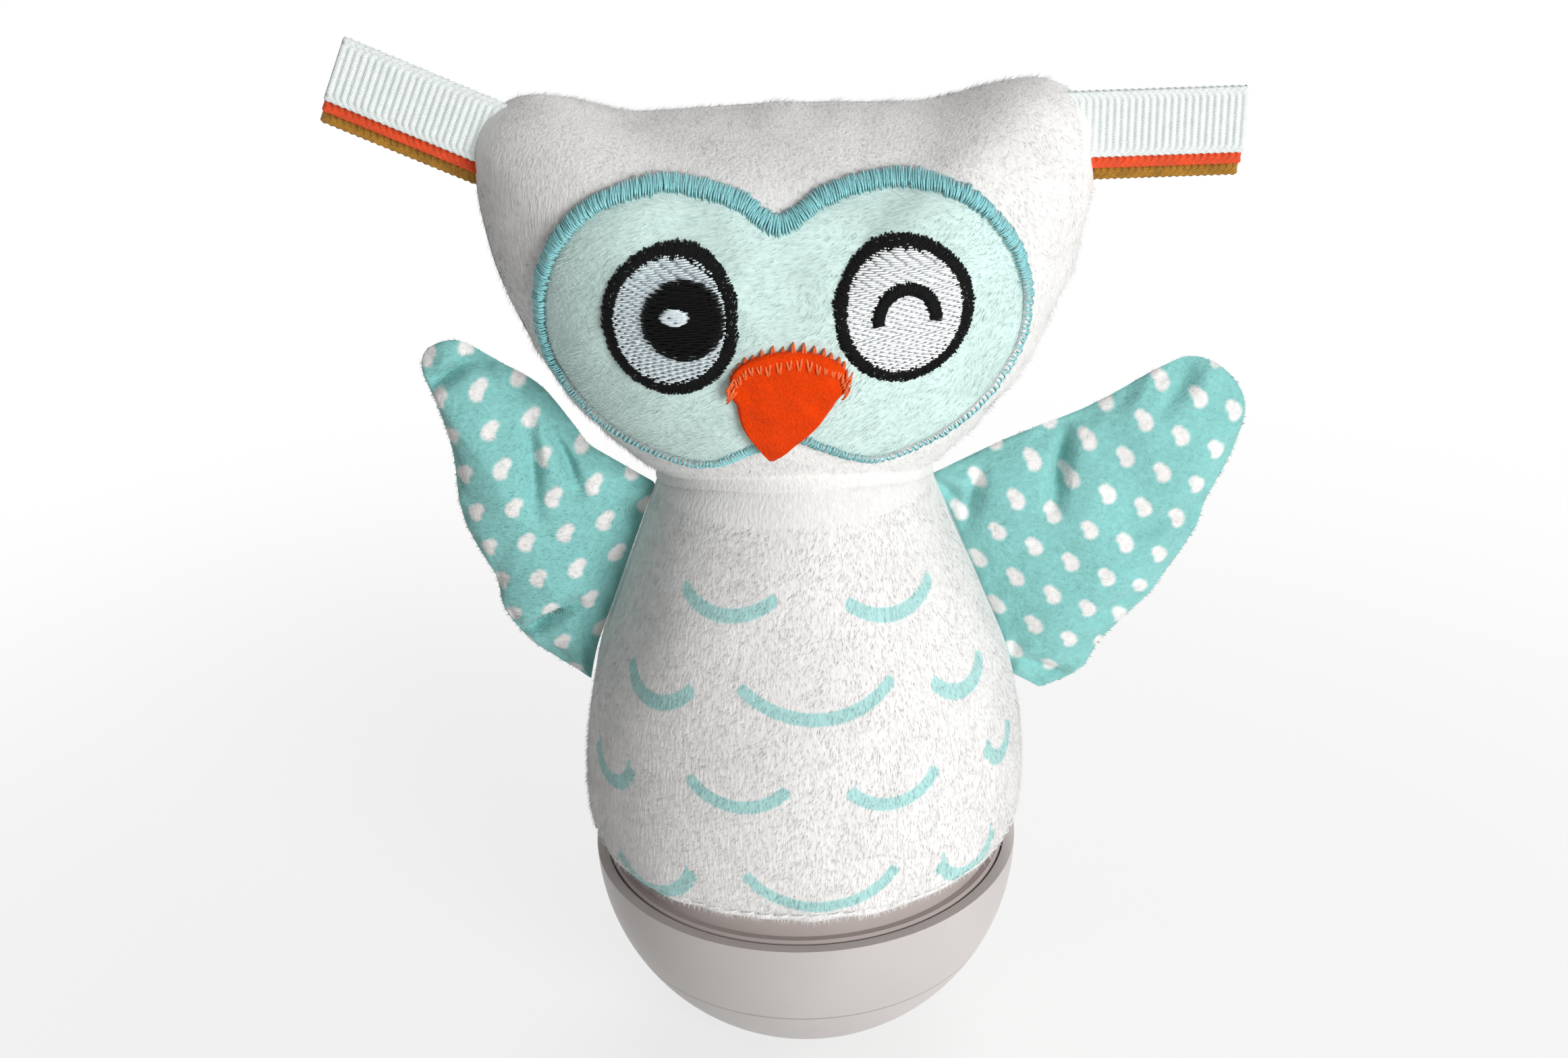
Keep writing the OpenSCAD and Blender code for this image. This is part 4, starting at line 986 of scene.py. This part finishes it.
def fillStitches(centre, half, kind, seed, inset=0.0):  # rows of short stitches across an oval
    pitch, length, jag, lift, hump, thread = fillSet[kind]
    least, stray = fillSet["shortest"], fillSet["humpStray"]
    draw = np.random.default_rng(seed)
    rows = np.arange(-half[1] + pitch / 2, half[1], pitch)
    ends = []
    for k, z in enumerate(rows):
        wide = half[0] * (1 - (z / half[1]) ** 2) ** 0.5
        cuts = np.arange(-wide - length * ((k * fillSet["stagger"]) % 1.0), wide, length)
        cuts = cuts + draw.normal(0, fillSet["stray"])
        cuts = cuts[(cuts > -wide + least) & (cuts < wide - least)]
        cuts = np.concatenate([[-wide - draw.uniform(0, jag)], cuts, [wide + draw.uniform(0, jag)]])
        tilt = draw.normal(0, fillSet["tilt"])
        for a, b in zip(cuts[:-1], cuts[1:]):
            ends.append([(a + inset, z + tilt), (b - inset, z - tilt)])
    ends = np.array(ends) + np.array(centre)
    lifts = np.full(ends.shape[:2], eyeSet["base"] + lift)
    return [stitches(ends, lifts, hump + draw.uniform(-stray, stray, len(ends)), thread)]


def padPlate(name, centre, half, lift, thick, finish):  # a layer under the stitches that show: black threads under the pupil, and a grey sheet of painted shade between the stitch ends of the eye fills
    n, k = padSet["turns"], padSet["rings"]
    turn = np.arange(n) / n * 2 * pi
    t = (np.arange(1, k + 1) / k)[:, None]
    x = centre[0] + half[0] * t * np.sin(turn)
    z = centre[1] + half[1] * t * np.cos(turn)
    top, _ = onHead(x.ravel(), z.ravel(), lift + thick * (1 - t ** 8 + 0 * turn).ravel())
    hub, _ = onHead(centre[:1], centre[1:], lift + thick)
    under, _ = onHead(x[-1], z[-1], lift - padSet["sunk"])
    low, _ = onHead(centre[:1], centre[1:], lift - padSet["sunk"])
    points = np.concatenate([hub, top, under, low])
    rim = np.arange(1 + (k - 1) * n, 1 + k * n)
    base = np.arange(1 + k * n, 1 + (k + 1) * n)
    faces = [fanFaces(0, np.arange(1, n + 1), flip=True), gridFaces(k, n, 1),
             np.stack([rim, np.roll(rim, -1), np.roll(base, -1), base], -1), fanFaces(len(points) - 1, base)]
    piece = makeMesh(name, points, faces, finishes[finish])
    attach(piece, "head")


def makeEyes():
    ring, base, pitch = eyeSet["ring"], eyeSet["base"], eyeSet["pitch"]
    lift, thick = eyeSet["backing"]
    for side, finish in (("left", "silver_thread"), ("right", "white_thread")):
        centre, half = np.array(eyeSet[side]), np.array(eyeSet["half"][side])
        inside = half - ring * eyeSet["fillShare"]
        # a grey sheet under the fill stitches: painted shade that shows in the gaps between stitch ends
        padPlate(side + "_eye_painted_shade", centre, inside, base + lift, thick, "painted_shade_thread")
        white = fillStitches(centre, inside, "white", 71 + len(side), eyeSet["inset"][side])
        sewn(side + "_eye_stitches", white, finish, side + "_eye_fill")
        outline = radialStitches(centre, half - ring / 2, ring, pitch["ring"], 75 + len(side))
        sewn(side + "_eye_outline", outline, "black_thread", side + "_eye_ring")
    centre = np.array(eyeSet["left"])
    middle, size = (np.array(v) for v in eyeSet["pupil"])
    lift, thick = eyeSet["pupilBacking"]
    below = size * eyeSet["pupilShare"]
    padPlate("pupil_backing", centre + middle, below, base + lift, thick, "black_thread")
    black = fillStitches(centre + middle, size, "pupil", seed=81)
    sewn("pupil_stitches", black, "black_thread", "left_eye_pupil")
    middle, size = (np.array(v) for v in eyeSet["glint"])
    shine = fillStitches(centre + middle, size, "glint", seed=83)
    sewn("glint_stitches", shine, "silver_thread", "left_eye_glint")
    half, width, middle = eyeSet["wink"]
    place = np.array(eyeSet["right"]) + middle
    lid = radialStitches(place, half, width, pitch["wink"], 85, eyeSet["winkTurns"], eyeSet["winkLift"])
    sewn("wink_stitches", lid, "black_thread", "right_eye_wink")


makeBorder()
makeEyes()
print("eyes and border sewn")

beakSet = {
    "middle": -0.5,
    "fold": 143.9,
    "half": 9.1,
    "pinch": (0.15, 0.16),  # share of the width lost below the seam, and over which share of the length
    "root": 6.4,
    "length": 11.8,
    "thick": 1.4,
    "stitches": 33,
    "stitchReach": (1.0, -3.3),  # above and below the edge
    "lean": -3.0,
    "taper": 1.9,
    "tipLift": 1.0,
    "lift": 1.9,
    "columns": 60,
    "rows": 44,
    "arch": 0.7,  # how round the top edge is
    "tipShare": 0.05,
    "rough": 0.12,
    "roughWave": 3,
    "roughSeed": 91,
    "edgeRoll": 0.45,
    "blend": (0.5, 1.5),  # above and below the fold
}
zigzagSet = {"turn": 1.45, "jitter": 0.012, "stray": 0.22, "low": 1.4, "hump": 0.75, "thread": 0.23}
tackSet = {"count": 9, "spread": (0.25, 0.9), "inward": 0.4, "up": 0.6, "sunk": 0.3, "hump": (0.4, 0.8),
           "thread": 0.19}


def beakPlace(u, v):  # u from -1 to 1 across, v from -1 at the top to 1 at the tip
    a = np.arcsin(np.clip(u, -1, 1))
    topZ = beakSet["root"] * np.cos(a) ** beakSet["arch"]
    down = np.clip(v, 0, 1)
    pinch, over = beakSet["pinch"]
    wide = beakSet["half"] * (1 - pinch * np.clip(down / over, 0, 1))
    wide = wide * np.maximum(1 - down ** beakSet["taper"], beakSet["tipShare"])
    x = beakSet["middle"] + beakSet["lean"] * down + wide * u
    z = beakSet["fold"] + np.where(v < 0, -v * topZ, -beakSet["length"] * down)
    return x, z, beakSet["tipLift"] * down ** 1.5


def makeBeak():
    n, k = beakSet["columns"], beakSet["rows"]
    v = np.linspace(-1, 1, k)[:, None]
    u = np.sin(np.linspace(-pi / 2, pi / 2, n))[None, :] * 0.999
    x, z, rise = beakPlace(u + 0 * v, v + 0 * u)
    soft = lumps(np.stack([x, 0 * x, z], -1).reshape(-1, 3), beakSet["roughWave"], beakSet["roughSeed"])
    soft = beakSet["rough"] * soft.reshape(x.shape)
    edge = np.maximum(np.abs(u), np.abs(v))
    roll = beakSet["edgeRoll"] * np.clip((edge - 0.9) / 0.1, 0, 1) ** 2
    top, _ = onHead(x.ravel(), z.ravel(), (beakSet["lift"] + beakSet["thick"] + rise + soft - roll).ravel())
    under, _ = onHead(x.ravel(), z.ravel(), (beakSet["lift"] + rise + roll).ravel())
    beak = makeMesh("beak", np.concatenate([top, under]), slabFaces(k, n), finishes["felt_orange"])
    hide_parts("beak_root", "beak_flap")
    return beak


beak = makeBeak()


def makeBeakStitches():
    draw = np.random.default_rng(95)
    n = beakSet["stitches"]
    a = np.linspace(-zigzagSet["turn"], zigzagSet["turn"], n) + draw.normal(0, zigzagSet["jitter"], n)
    odd = np.arange(n) % 2 == 1
    reach = np.where(odd, *beakSet["stitchReach"]) + draw.normal(0, zigzagSet["stray"], n)
    x = beakSet["middle"] + (beakSet["half"] + 0.3 * reach) * np.sin(a)
    z = beakSet["fold"] + beakSet["root"] * np.cos(a) ** beakSet["arch"] + reach * (0.35 + 0.65 * np.cos(a))
    places = np.stack([x, z], -1)
    ends = np.stack([places[:-1], places[1:]], 1)
    top = beakSet["lift"] + beakSet["thick"]
    height = np.where(odd, zigzagSet["low"], top - 0.1)
    lifts = np.stack([height[:-1], height[1:]], 1)
    groups = [stitches(ends, lifts, zigzagSet["hump"], zigzagSet["thread"])]
    tacks = []
    spreadX, spreadZ = tackSet["spread"]
    for side in (-1, 1):
        for _ in range(tackSet["count"]):
            across = beakSet["half"] - tackSet["inward"] + draw.normal(0, spreadX)
            spot = np.array([beakSet["middle"] + side * across,
                             beakSet["fold"] + tackSet["up"] + draw.normal(0, spreadZ)])
            reach = np.array([draw.normal(0.3, 0.3), draw.uniform(0.7, 1.2)])
            tacks.append([spot - reach, spot + reach])
    hump = draw.uniform(*tackSet["hump"], len(tacks))
    groups.append(stitches(tacks, np.full((len(tacks), 2), top - tackSet["sunk"]), hump, tackSet["thread"]))
    sewn("beak_zigzag", groups, "orange_thread", "beak_stitches")


makeBeakStitches()
print("beak sewn on")

ribbonSet = {
    "width": 11.0,
    "thick": 0.5,
    "length": 25.0,
    "gap": 0.6,
    "away": 0.2,  # from the seam that it comes out of
    "reachIn": 6.0,
    "sewnIn": 0.7,
    "step": (1.8, 2.3),  # each loop lies this far behind and below the one before
    "ribs": 1.19,
    "ribHeight": 0.36,
    "selvedge": 1.25,
    "columns": 45,
    "ribSteps": 8,  # points along each rib
    "edgeFrom": 4.9,  # from the middle: outer threads of the selvedge, and its teeth
    "teethFrom": 5.45,
    "teeth": 0.1,
    "rim": 0.3,
    "rimDrop": 0.6,
    "selvedgeSoft": 0.25,
    "ribRound": 0.7,
    "weaveHeight": 0.45,  # of the selvedge, as a share of the ribs
    "ribRoot": 0.12,  # how far below the face the ribs start
    "underRelief": 0.3,  # of the inner face, as a share of the ribs
    "blend": (0.3, 3.5),  # from the seat outwards
    "left": ((-51.919, 0, 179.105), (-0.906308, 0, 0.422618)),
    "right": ((52.547, 0, 175.931), (1, 0, 0)),
    "colours": ("white", "orange", "gold"),
}


def ribbonLoop(side, k):
    seat, out = (np.array(v, float) for v in ribbonSet[side])
    up = np.array([abs(out[2]), 0, abs(out[0])])
    back = np.array([0, 1.0, 0])
    half = ribbonSet["gap"] / 2 + ribbonSet["thick"] / 2
    straight = ribbonSet["length"] - half - ribbonSet["thick"] / 2
    pitch = ribbonSet["ribs"]
    total = 2 * straight + pi * half
    s = np.linspace(0, total, int(total / pitch * ribbonSet["ribSteps"]))
    turn = np.clip((s - straight) / half, 0, pi)
    near, far = s < straight, s > straight + pi * half  # the two legs on either side of the fold
    along = np.where(near, s, np.where(far, total - s, straight + half * np.sin(turn)))
    depth = -half * np.cos(turn)
    outward = np.stack([np.sin(turn), -np.cos(turn)], -1)  # along, back
    w = np.linspace(-1, 1, ribbonSet["columns"]) * ribbonSet["width"] / 2
    inside = ribbonSet["width"] / 2 - ribbonSet["selvedge"] - np.abs(w)
    inside = np.clip(inside / ribbonSet["selvedgeSoft"] + 0.5, 0, 1)[:, None]
    behind, below = ribbonSet["step"]
    place = seat + out * ribbonSet["away"] + back * (k - 1) * behind + up * (1 - k) * below
    # the ends reach in to the head's seam over the whole width
    deep = np.arange(0, ribbonSet["reachIn"], 0.1)[:, None, None]
    spot = place + w[:, None] * up - deep * out
    found = headDepth(spot[..., 0], spot[..., 2]) > np.abs(spot[..., 1])
    reach = np.where(found.any(axis=0), deep[found.argmax(axis=0), 0, 0], ribbonSet["reachIn"])[:, None]
    along = along - (reach + ribbonSet["sewnIn"]) * (1 - np.clip(along / straight, 0, 1))
    run = np.where(near, along, np.where(far, total - along, s))  # along the cloth
    rib = (0.5 - 0.5 * np.cos(2 * pi * run / pitch)) ** ribbonSet["ribRound"]
    shift = np.where(np.abs(w) > ribbonSet["edgeFrom"], pi, 0)[:, None]
    weave = 0.5 + 0.5 * np.sin(2 * pi * run / pitch + shift)
    high = ribbonSet["ribHeight"] * (rib * inside + ribbonSet["weaveHeight"] * weave * (1 - inside))
    teeth = ribbonSet["teeth"] * np.sin(2 * pi * run / pitch)
    teeth = teeth * (np.abs(w) > ribbonSet["teethFrom"])[:, None] * np.sign(w)[:, None]
    rim = np.clip((np.abs(w) - ribbonSet["width"] / 2 + ribbonSet["rim"]) / ribbonSet["rim"], 0, 1)[:, None]
    layers = []
    for face in (1, -1):
        relief = high if face > 0 else -ribbonSet["underRelief"] * high
        lift = face * (ribbonSet["thick"] / 2 - ribbonSet["ribRoot"]) + relief
        lift = lift * (1 - ribbonSet["rimDrop"] * rim)
        a = along + outward[:, 0] * lift
        b = depth + outward[:, 1] * lift
        c = w[:, None] + teeth
        layers.append(a[..., None] * out + b[..., None] * back + c[..., None] * up)
    points = np.concatenate([layer.reshape(-1, 3) for layer in layers]) + place
    faces = slabFaces(len(w), len(s), flip=side == "right")
    name = "ribbon_" + ribbonSet["colours"][k]
    piece = makeMesh(side + "_" + name + "_loop", points, faces, finishes[name])
    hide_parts(side + "_" + name)
    total * mm
    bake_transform(piece)


for side in ("left", "right"):
    for k in range(3):
        ribbonLoop(side, k)
print("ribbon loops folded")

cordSet = {"turns": 60, "steps": 900}


def makeHemCord():
    low, high = (np.array(c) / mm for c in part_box("hem_cord"))
    thick = (high[2] - low[2]) / 2
    ring = high[0] - thick
    height = (high[2] + low[2]) / 2
    a = np.linspace(0, 2 * pi, cordSet["steps"])
    plies = []
    for ply in (0, pi):
        twist = a * cordSet["turns"] + ply
        r = ring + thick * 0.5 * np.cos(twist)
        plies.append(turned(r, a, height + thick * 0.5 * np.sin(twist)))
    outs = [turned(1, a, 0)] * 2
    cord = sweep("hem_cord_twisted", plies, outs, thick * 0.5, finishes["cord"], 7)
    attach(cord, "base")
    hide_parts("hem_cord")


makeHemCord()
print("hem cord twisted")

hemStitchSet = {
    "count": 84,
    "thread": 0.16,
    "share": 0.72,  # how much of each step the stitch shows
    "sunk": (0.15, 0.5),  # in its middle, and how much more at its ends
    "sway": 0.06,
    "swayTurns": 37,
}


def makeHemStitches():  # the row that holds the hem round its cord
    z = bodySet["hem"][1] + bodySet["hemLine"]
    step = 2 * pi / hemStitchSet["count"]
    t = np.linspace(0, 1, 7)
    a = np.arange(hemStitchSet["count"])[:, None] * step + t * step * hemStitchSet["share"]
    middle, ends = hemStitchSet["sunk"]
    r = bodyRadius(z) - middle - ends * (2 * t - 1) ** 4 + 0 * a
    places = turned(r, a, z + hemStitchSet["sway"] * np.sin(a * hemStitchSet["swayTurns"]))
    row = sweep("hem_stitches", places, turned(1, a, 0), hemStitchSet["thread"], finishes["white_thread"])
    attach(row, "base")


makeHemStitches()

# the pile of the plush: single fibres, each a slim closed spike leaning along the nap
pileSet = {
    "length": 1.5,  # mm
    "root": 0.07,
    "lean": 68.0,  # degrees from upright
    "swirl": 0.5,  # how far brushing turns the nap, radians
    "swirlWave": 9.0,
    "stray": 0.22,  # radians
    "leanStray": 9,
    "lengths": (0.7, 1.25),  # shares of the length
    "sunk": 0.15,
    "slots": {"patch_aqua": "patch_aqua", "plush_white": "plush_white", "plush_belly": "plush_white"},
    "edgeStep": 1.5,
    "bareSeat": 8,  # mm round the ribbons' seats
    "bareNeck": 1.2,
    "bareRoot": (4.6, 70),  # half width and lowest height of the strip under the wings' roots
    "bareHem": 0.4,
    "bareTop": 116.5,  # height above which the head covers the body
    "bareLining": 1.0,  # inside of the body's outline
    "bareWing": 3.0,  # from the body outwards
}


def scatter(piece, density, seed):  # even random places on a piece, with the way out of it
    mesh = piece.data
    mesh.calc_loop_triangles()
    corners = np.empty(len(mesh.loop_triangles) * 3, np.int32)
    mesh.loop_triangles.foreach_get("vertices", corners)
    corners = corners.reshape(-1, 3)
    points = np.empty(len(mesh.vertices) * 3)
    mesh.vertices.foreach_get("co", points)
    points = points.reshape(-1, 3) / mm
    outs = np.empty(len(mesh.vertices) * 3)
    mesh.vertices.foreach_get("normal", outs)
    outs = outs.reshape(-1, 3)
    a, b, c = (points[corners[:, k]] for k in range(3))
    area = np.linalg.norm(np.cross(b - a, c - a), axis=1) / 2
    draw = np.random.default_rng(seed)
    face = draw.choice(len(area), int(area.sum() * density), p=area / area.sum())
    u, v = draw.random((2, len(face), 1))
    u, v = np.where(u + v > 1, 1 - u, u), np.where(u + v > 1, 1 - v, v)
    spot = a[face] + u * (b - a)[face] + v * (c - a)[face]
    out = [outs[corners[face, k]] for k in range(3)]
    return spot, unit(out[0] * (1 - u - v) + out[1] * u + out[2] * v)


def pile(name, piece, density, nap, keep, finish, seed, length=1.0, soft=0.7, swirl=1.0):
    spot, out = scatter(piece, density, seed)
    kept = keep(spot)
    spot, out = spot[kept], out[kept]
    draw = np.random.default_rng(seed + 1)
    n = len(spot)
    flow = unit(np.array(nap) - (out @ np.array(nap))[:, None] * out)
    turn = swirl * pileSet["swirl"] * lumps(spot, pileSet["swirlWave"], seed)
    turn = (turn + draw.normal(0, pileSet["stray"], n))[:, None]
    side = np.cross(out, flow)
    flow, side = flow * np.cos(turn) + side * np.sin(turn), side * np.cos(turn) - flow * np.sin(turn)
    lean = np.radians(pileSet["lean"] + draw.normal(0, pileSet["leanStray"], n))[:, None]
    way = out * np.cos(lean) + flow * np.sin(lean)
    long = length * pileSet["length"] * draw.uniform(*pileSet["lengths"], n)[:, None]
    foot = spot - pileSet["sunk"] * out
    r = pileSet["root"]
    points = [foot + r * side, foot - r * side, foot + r * flow, spot + long * way]
    points = np.stack(points, 1).reshape(-1, 3)
    first = np.arange(n)[:, None] * 4
    faces = np.concatenate([first + f for f in ([0, 3, 2], [2, 3, 1], [1, 3, 0], [0, 2, 1])])
    hair = makeMesh(name, points, [faces], finishes[finish])
    # the light falls on the fibres much as on the cloth under them
    a, b, c = (points[faces[:, k]] for k in range(3))
    lit = unit((1 - soft) * unit(np.cross(b - a, c - a)) + soft * np.tile(out, (4, 1)))
    hair.data.normals_split_custom_set(np.repeat(lit, 3, axis=0).tolist())
    # each fibre has its own small place in the map
    wide = int(np.ceil(n ** 0.5))
    cell = np.stack([np.arange(n) % wide, np.arange(n) // wide], -1)
    corner = np.array([(0.1, 0.1), (0.9, 0.1), (0.5, 0.4), (0.5, 0.9)])
    uv = (cell[:, None] + corner[None]).reshape(-1, 2) / wide
    layer = hair.data.uv_layers.new(name="OFBake")
    layer.data.foreach_set("uv", uv[faces.reshape(-1)].reshape(-1))
    return hair


def insideLine(points, line):  # which x, z places lie inside a closed outline
    x, z = points[:, 0], points[:, 2]
    found = np.zeros(len(points), bool)
    for (ax, az), (bx, bz) in zip(line, np.roll(line, -1, axis=0)):
        crosses = (az > z) != (bz > z)
        found ^= crosses & (x < ax + (z - az) * (bx - ax) / (bz - az + 1e-12))
    return found


def onPatchPile(p):
    return insideLine(p, evenly(patchOutline(), pileSet["edgeStep"]))


def onHeadPile(p):
    bare = pileSet["bareSeat"]
    seats = [np.linalg.norm(p - np.array(ribbonSet[side][0]), axis=1) > bare for side in ("left", "right")]
    away = np.linalg.norm(p - np.array([0, 0, headSet["neckCentre"]]), axis=1)
    neck = away > headSet["neckRadius"] + pileSet["bareNeck"]
    return neck & seats[0] & seats[1] & ~((p[:, 1] < 0) & onPatchPile(p))


def onBodyPile(p):
    r = np.hypot(p[:, 0], p[:, 1])
    half, low = pileSet["bareRoot"]
    root = (np.abs(p[:, 1]) < half) & (p[:, 2] > low)
    high = (p[:, 2] > bodySet["hem"][1] + pileSet["bareHem"]) & (p[:, 2] < pileSet["bareTop"])
    return (r > bodyRadius(p[:, 2]) - pileSet["bareLining"]) & high & ~root


def onWingPile(p):
    return np.abs(p[:, 0]) > bodyRadius(p[:, 2]) + pileSet["bareWing"]


hair = pile("head_pile", head, 2.3, (0.8, 0, -0.45), onHeadPile, "plush_white", 101)
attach(hair, "head")
hair = pile("body_pile", body, 3.1, (0, 0, -1), onBodyPile, "plush_belly", 103,
            length=0.85, soft=0.95, swirl=0.5)
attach(hair, "base")
hair = pile("patch_pile", patch, 2.6, (-0.8, 0, -0.5), onPatchPile, "patch_aqua", 105, length=0.85, soft=0.4)
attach(hair, "head")
for which, seed in (("left", 107), ("right", 109)):
    nap = (wingSet[which]["side"], 0, -0.3)
    finish = "plush_" + which + "_wing"
    hair = pile(which + "_wing_pile", wings[which], 3.4, nap, onWingPile, finish, seed, length=0.55)
    bendAtRoot(hair, which)
    bendAtRoot(wings[which], which)
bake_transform(beak)
print("pile brushed")

stageSet = {
    "floor": "F6F6F5",
    "size": 9.0,  # metres
    "lift": 0.7,  # how white the floor looks under the toy
    "near": 0.12,  # metres, where it starts and ends growing white
    "far": 0.4,
    "below": 0.02,
    "world": 0.2,  # light from all round
}


def backdropRays(graph):  # 1 for the camera, mirrors and glass, 0 for light that falls on things
    path = graph.node("LightPath").socket.node
    names = ("Is Camera Ray", "Is Glossy Ray", "Is Transmission Ray")
    camera, glossy, through = (Wire(graph, path.outputs[name]) for name in names)
    return graph.sum("MINIMUM", camera + glossy + through, 1.0)


def makeFloor(look):
    half = look["size"] / 2 / mm
    graph = Graph("paleFloor")
    seen = backdropRays(graph)
    away = graph.node("VectorMath", {"operation": "LENGTH"}, {0: graph.node("TexCoord", out=3)}, 1)
    white = look["lift"] + (1 - look["lift"]) * graph.step(away, look["near"], look["far"])
    glow = graph.node("Emission", None, {"Color": (1, 1, 1, 1), "Strength": 1.0})
    graph.finish(colour=colour(look["floor"]), rough=0.9, specular=0.1)
    lit = Wire(graph, graph.shader.outputs[0])
    shown = graph.node("MixShader", None, {0: seen * white, 1: lit, 2: glow})
    graph.join(graph.tree.nodes["Material Output"].inputs["Surface"], shown)
    corners = [(-half, -half, 0), (half, -half, 0), (half, half, 0), (-half, half, 0)]
    floor = makeMesh("floor", np.array(corners) - (0, 0, look["below"]), [[[0, 1, 2, 3]]], graph.owner)


lampSet = {  # place in mm, size in mm, power in watts
    "key": ((760, -1126, 340), 672, 16.5),
    "back": ((200, 700, 420), 600, 3.0),
    "top": ((160, -60, 900), 600, 1.1),
}


def makeLamps(lamps):
    aim = Vector((0, 0, 95)) * mm
    for name, (place, size, power) in lamps.items():
        data = bpy.data.lights.new(name, "AREA")
        data.shape = "DISK"
        data.size = size * mm
        data.energy = power
        lamp = bpy.data.objects.new(name, data)
        lamp.location = Vector(place) * mm
        lamp.rotation_euler = (lamp.location - aim).to_track_quat("Z", "Y").to_euler()
        scene.collection.objects.link(lamp)


def makeWorld(level):
    graph = Graph("world", bpy.data.worlds.new("world"))
    scene.world = graph.owner
    ground = graph.tree.nodes["Background"]
    ground.inputs["Color"].default_value = (1, 1, 1, 1)
    graph.join(ground.inputs["Strength"], level + (1 - level) * backdropRays(graph))


makeFloor(stageSet)
makeLamps(lampSet)
makeWorld(stageSet["world"])
scene.view_settings.view_transform = "Standard"
print("stage lit")
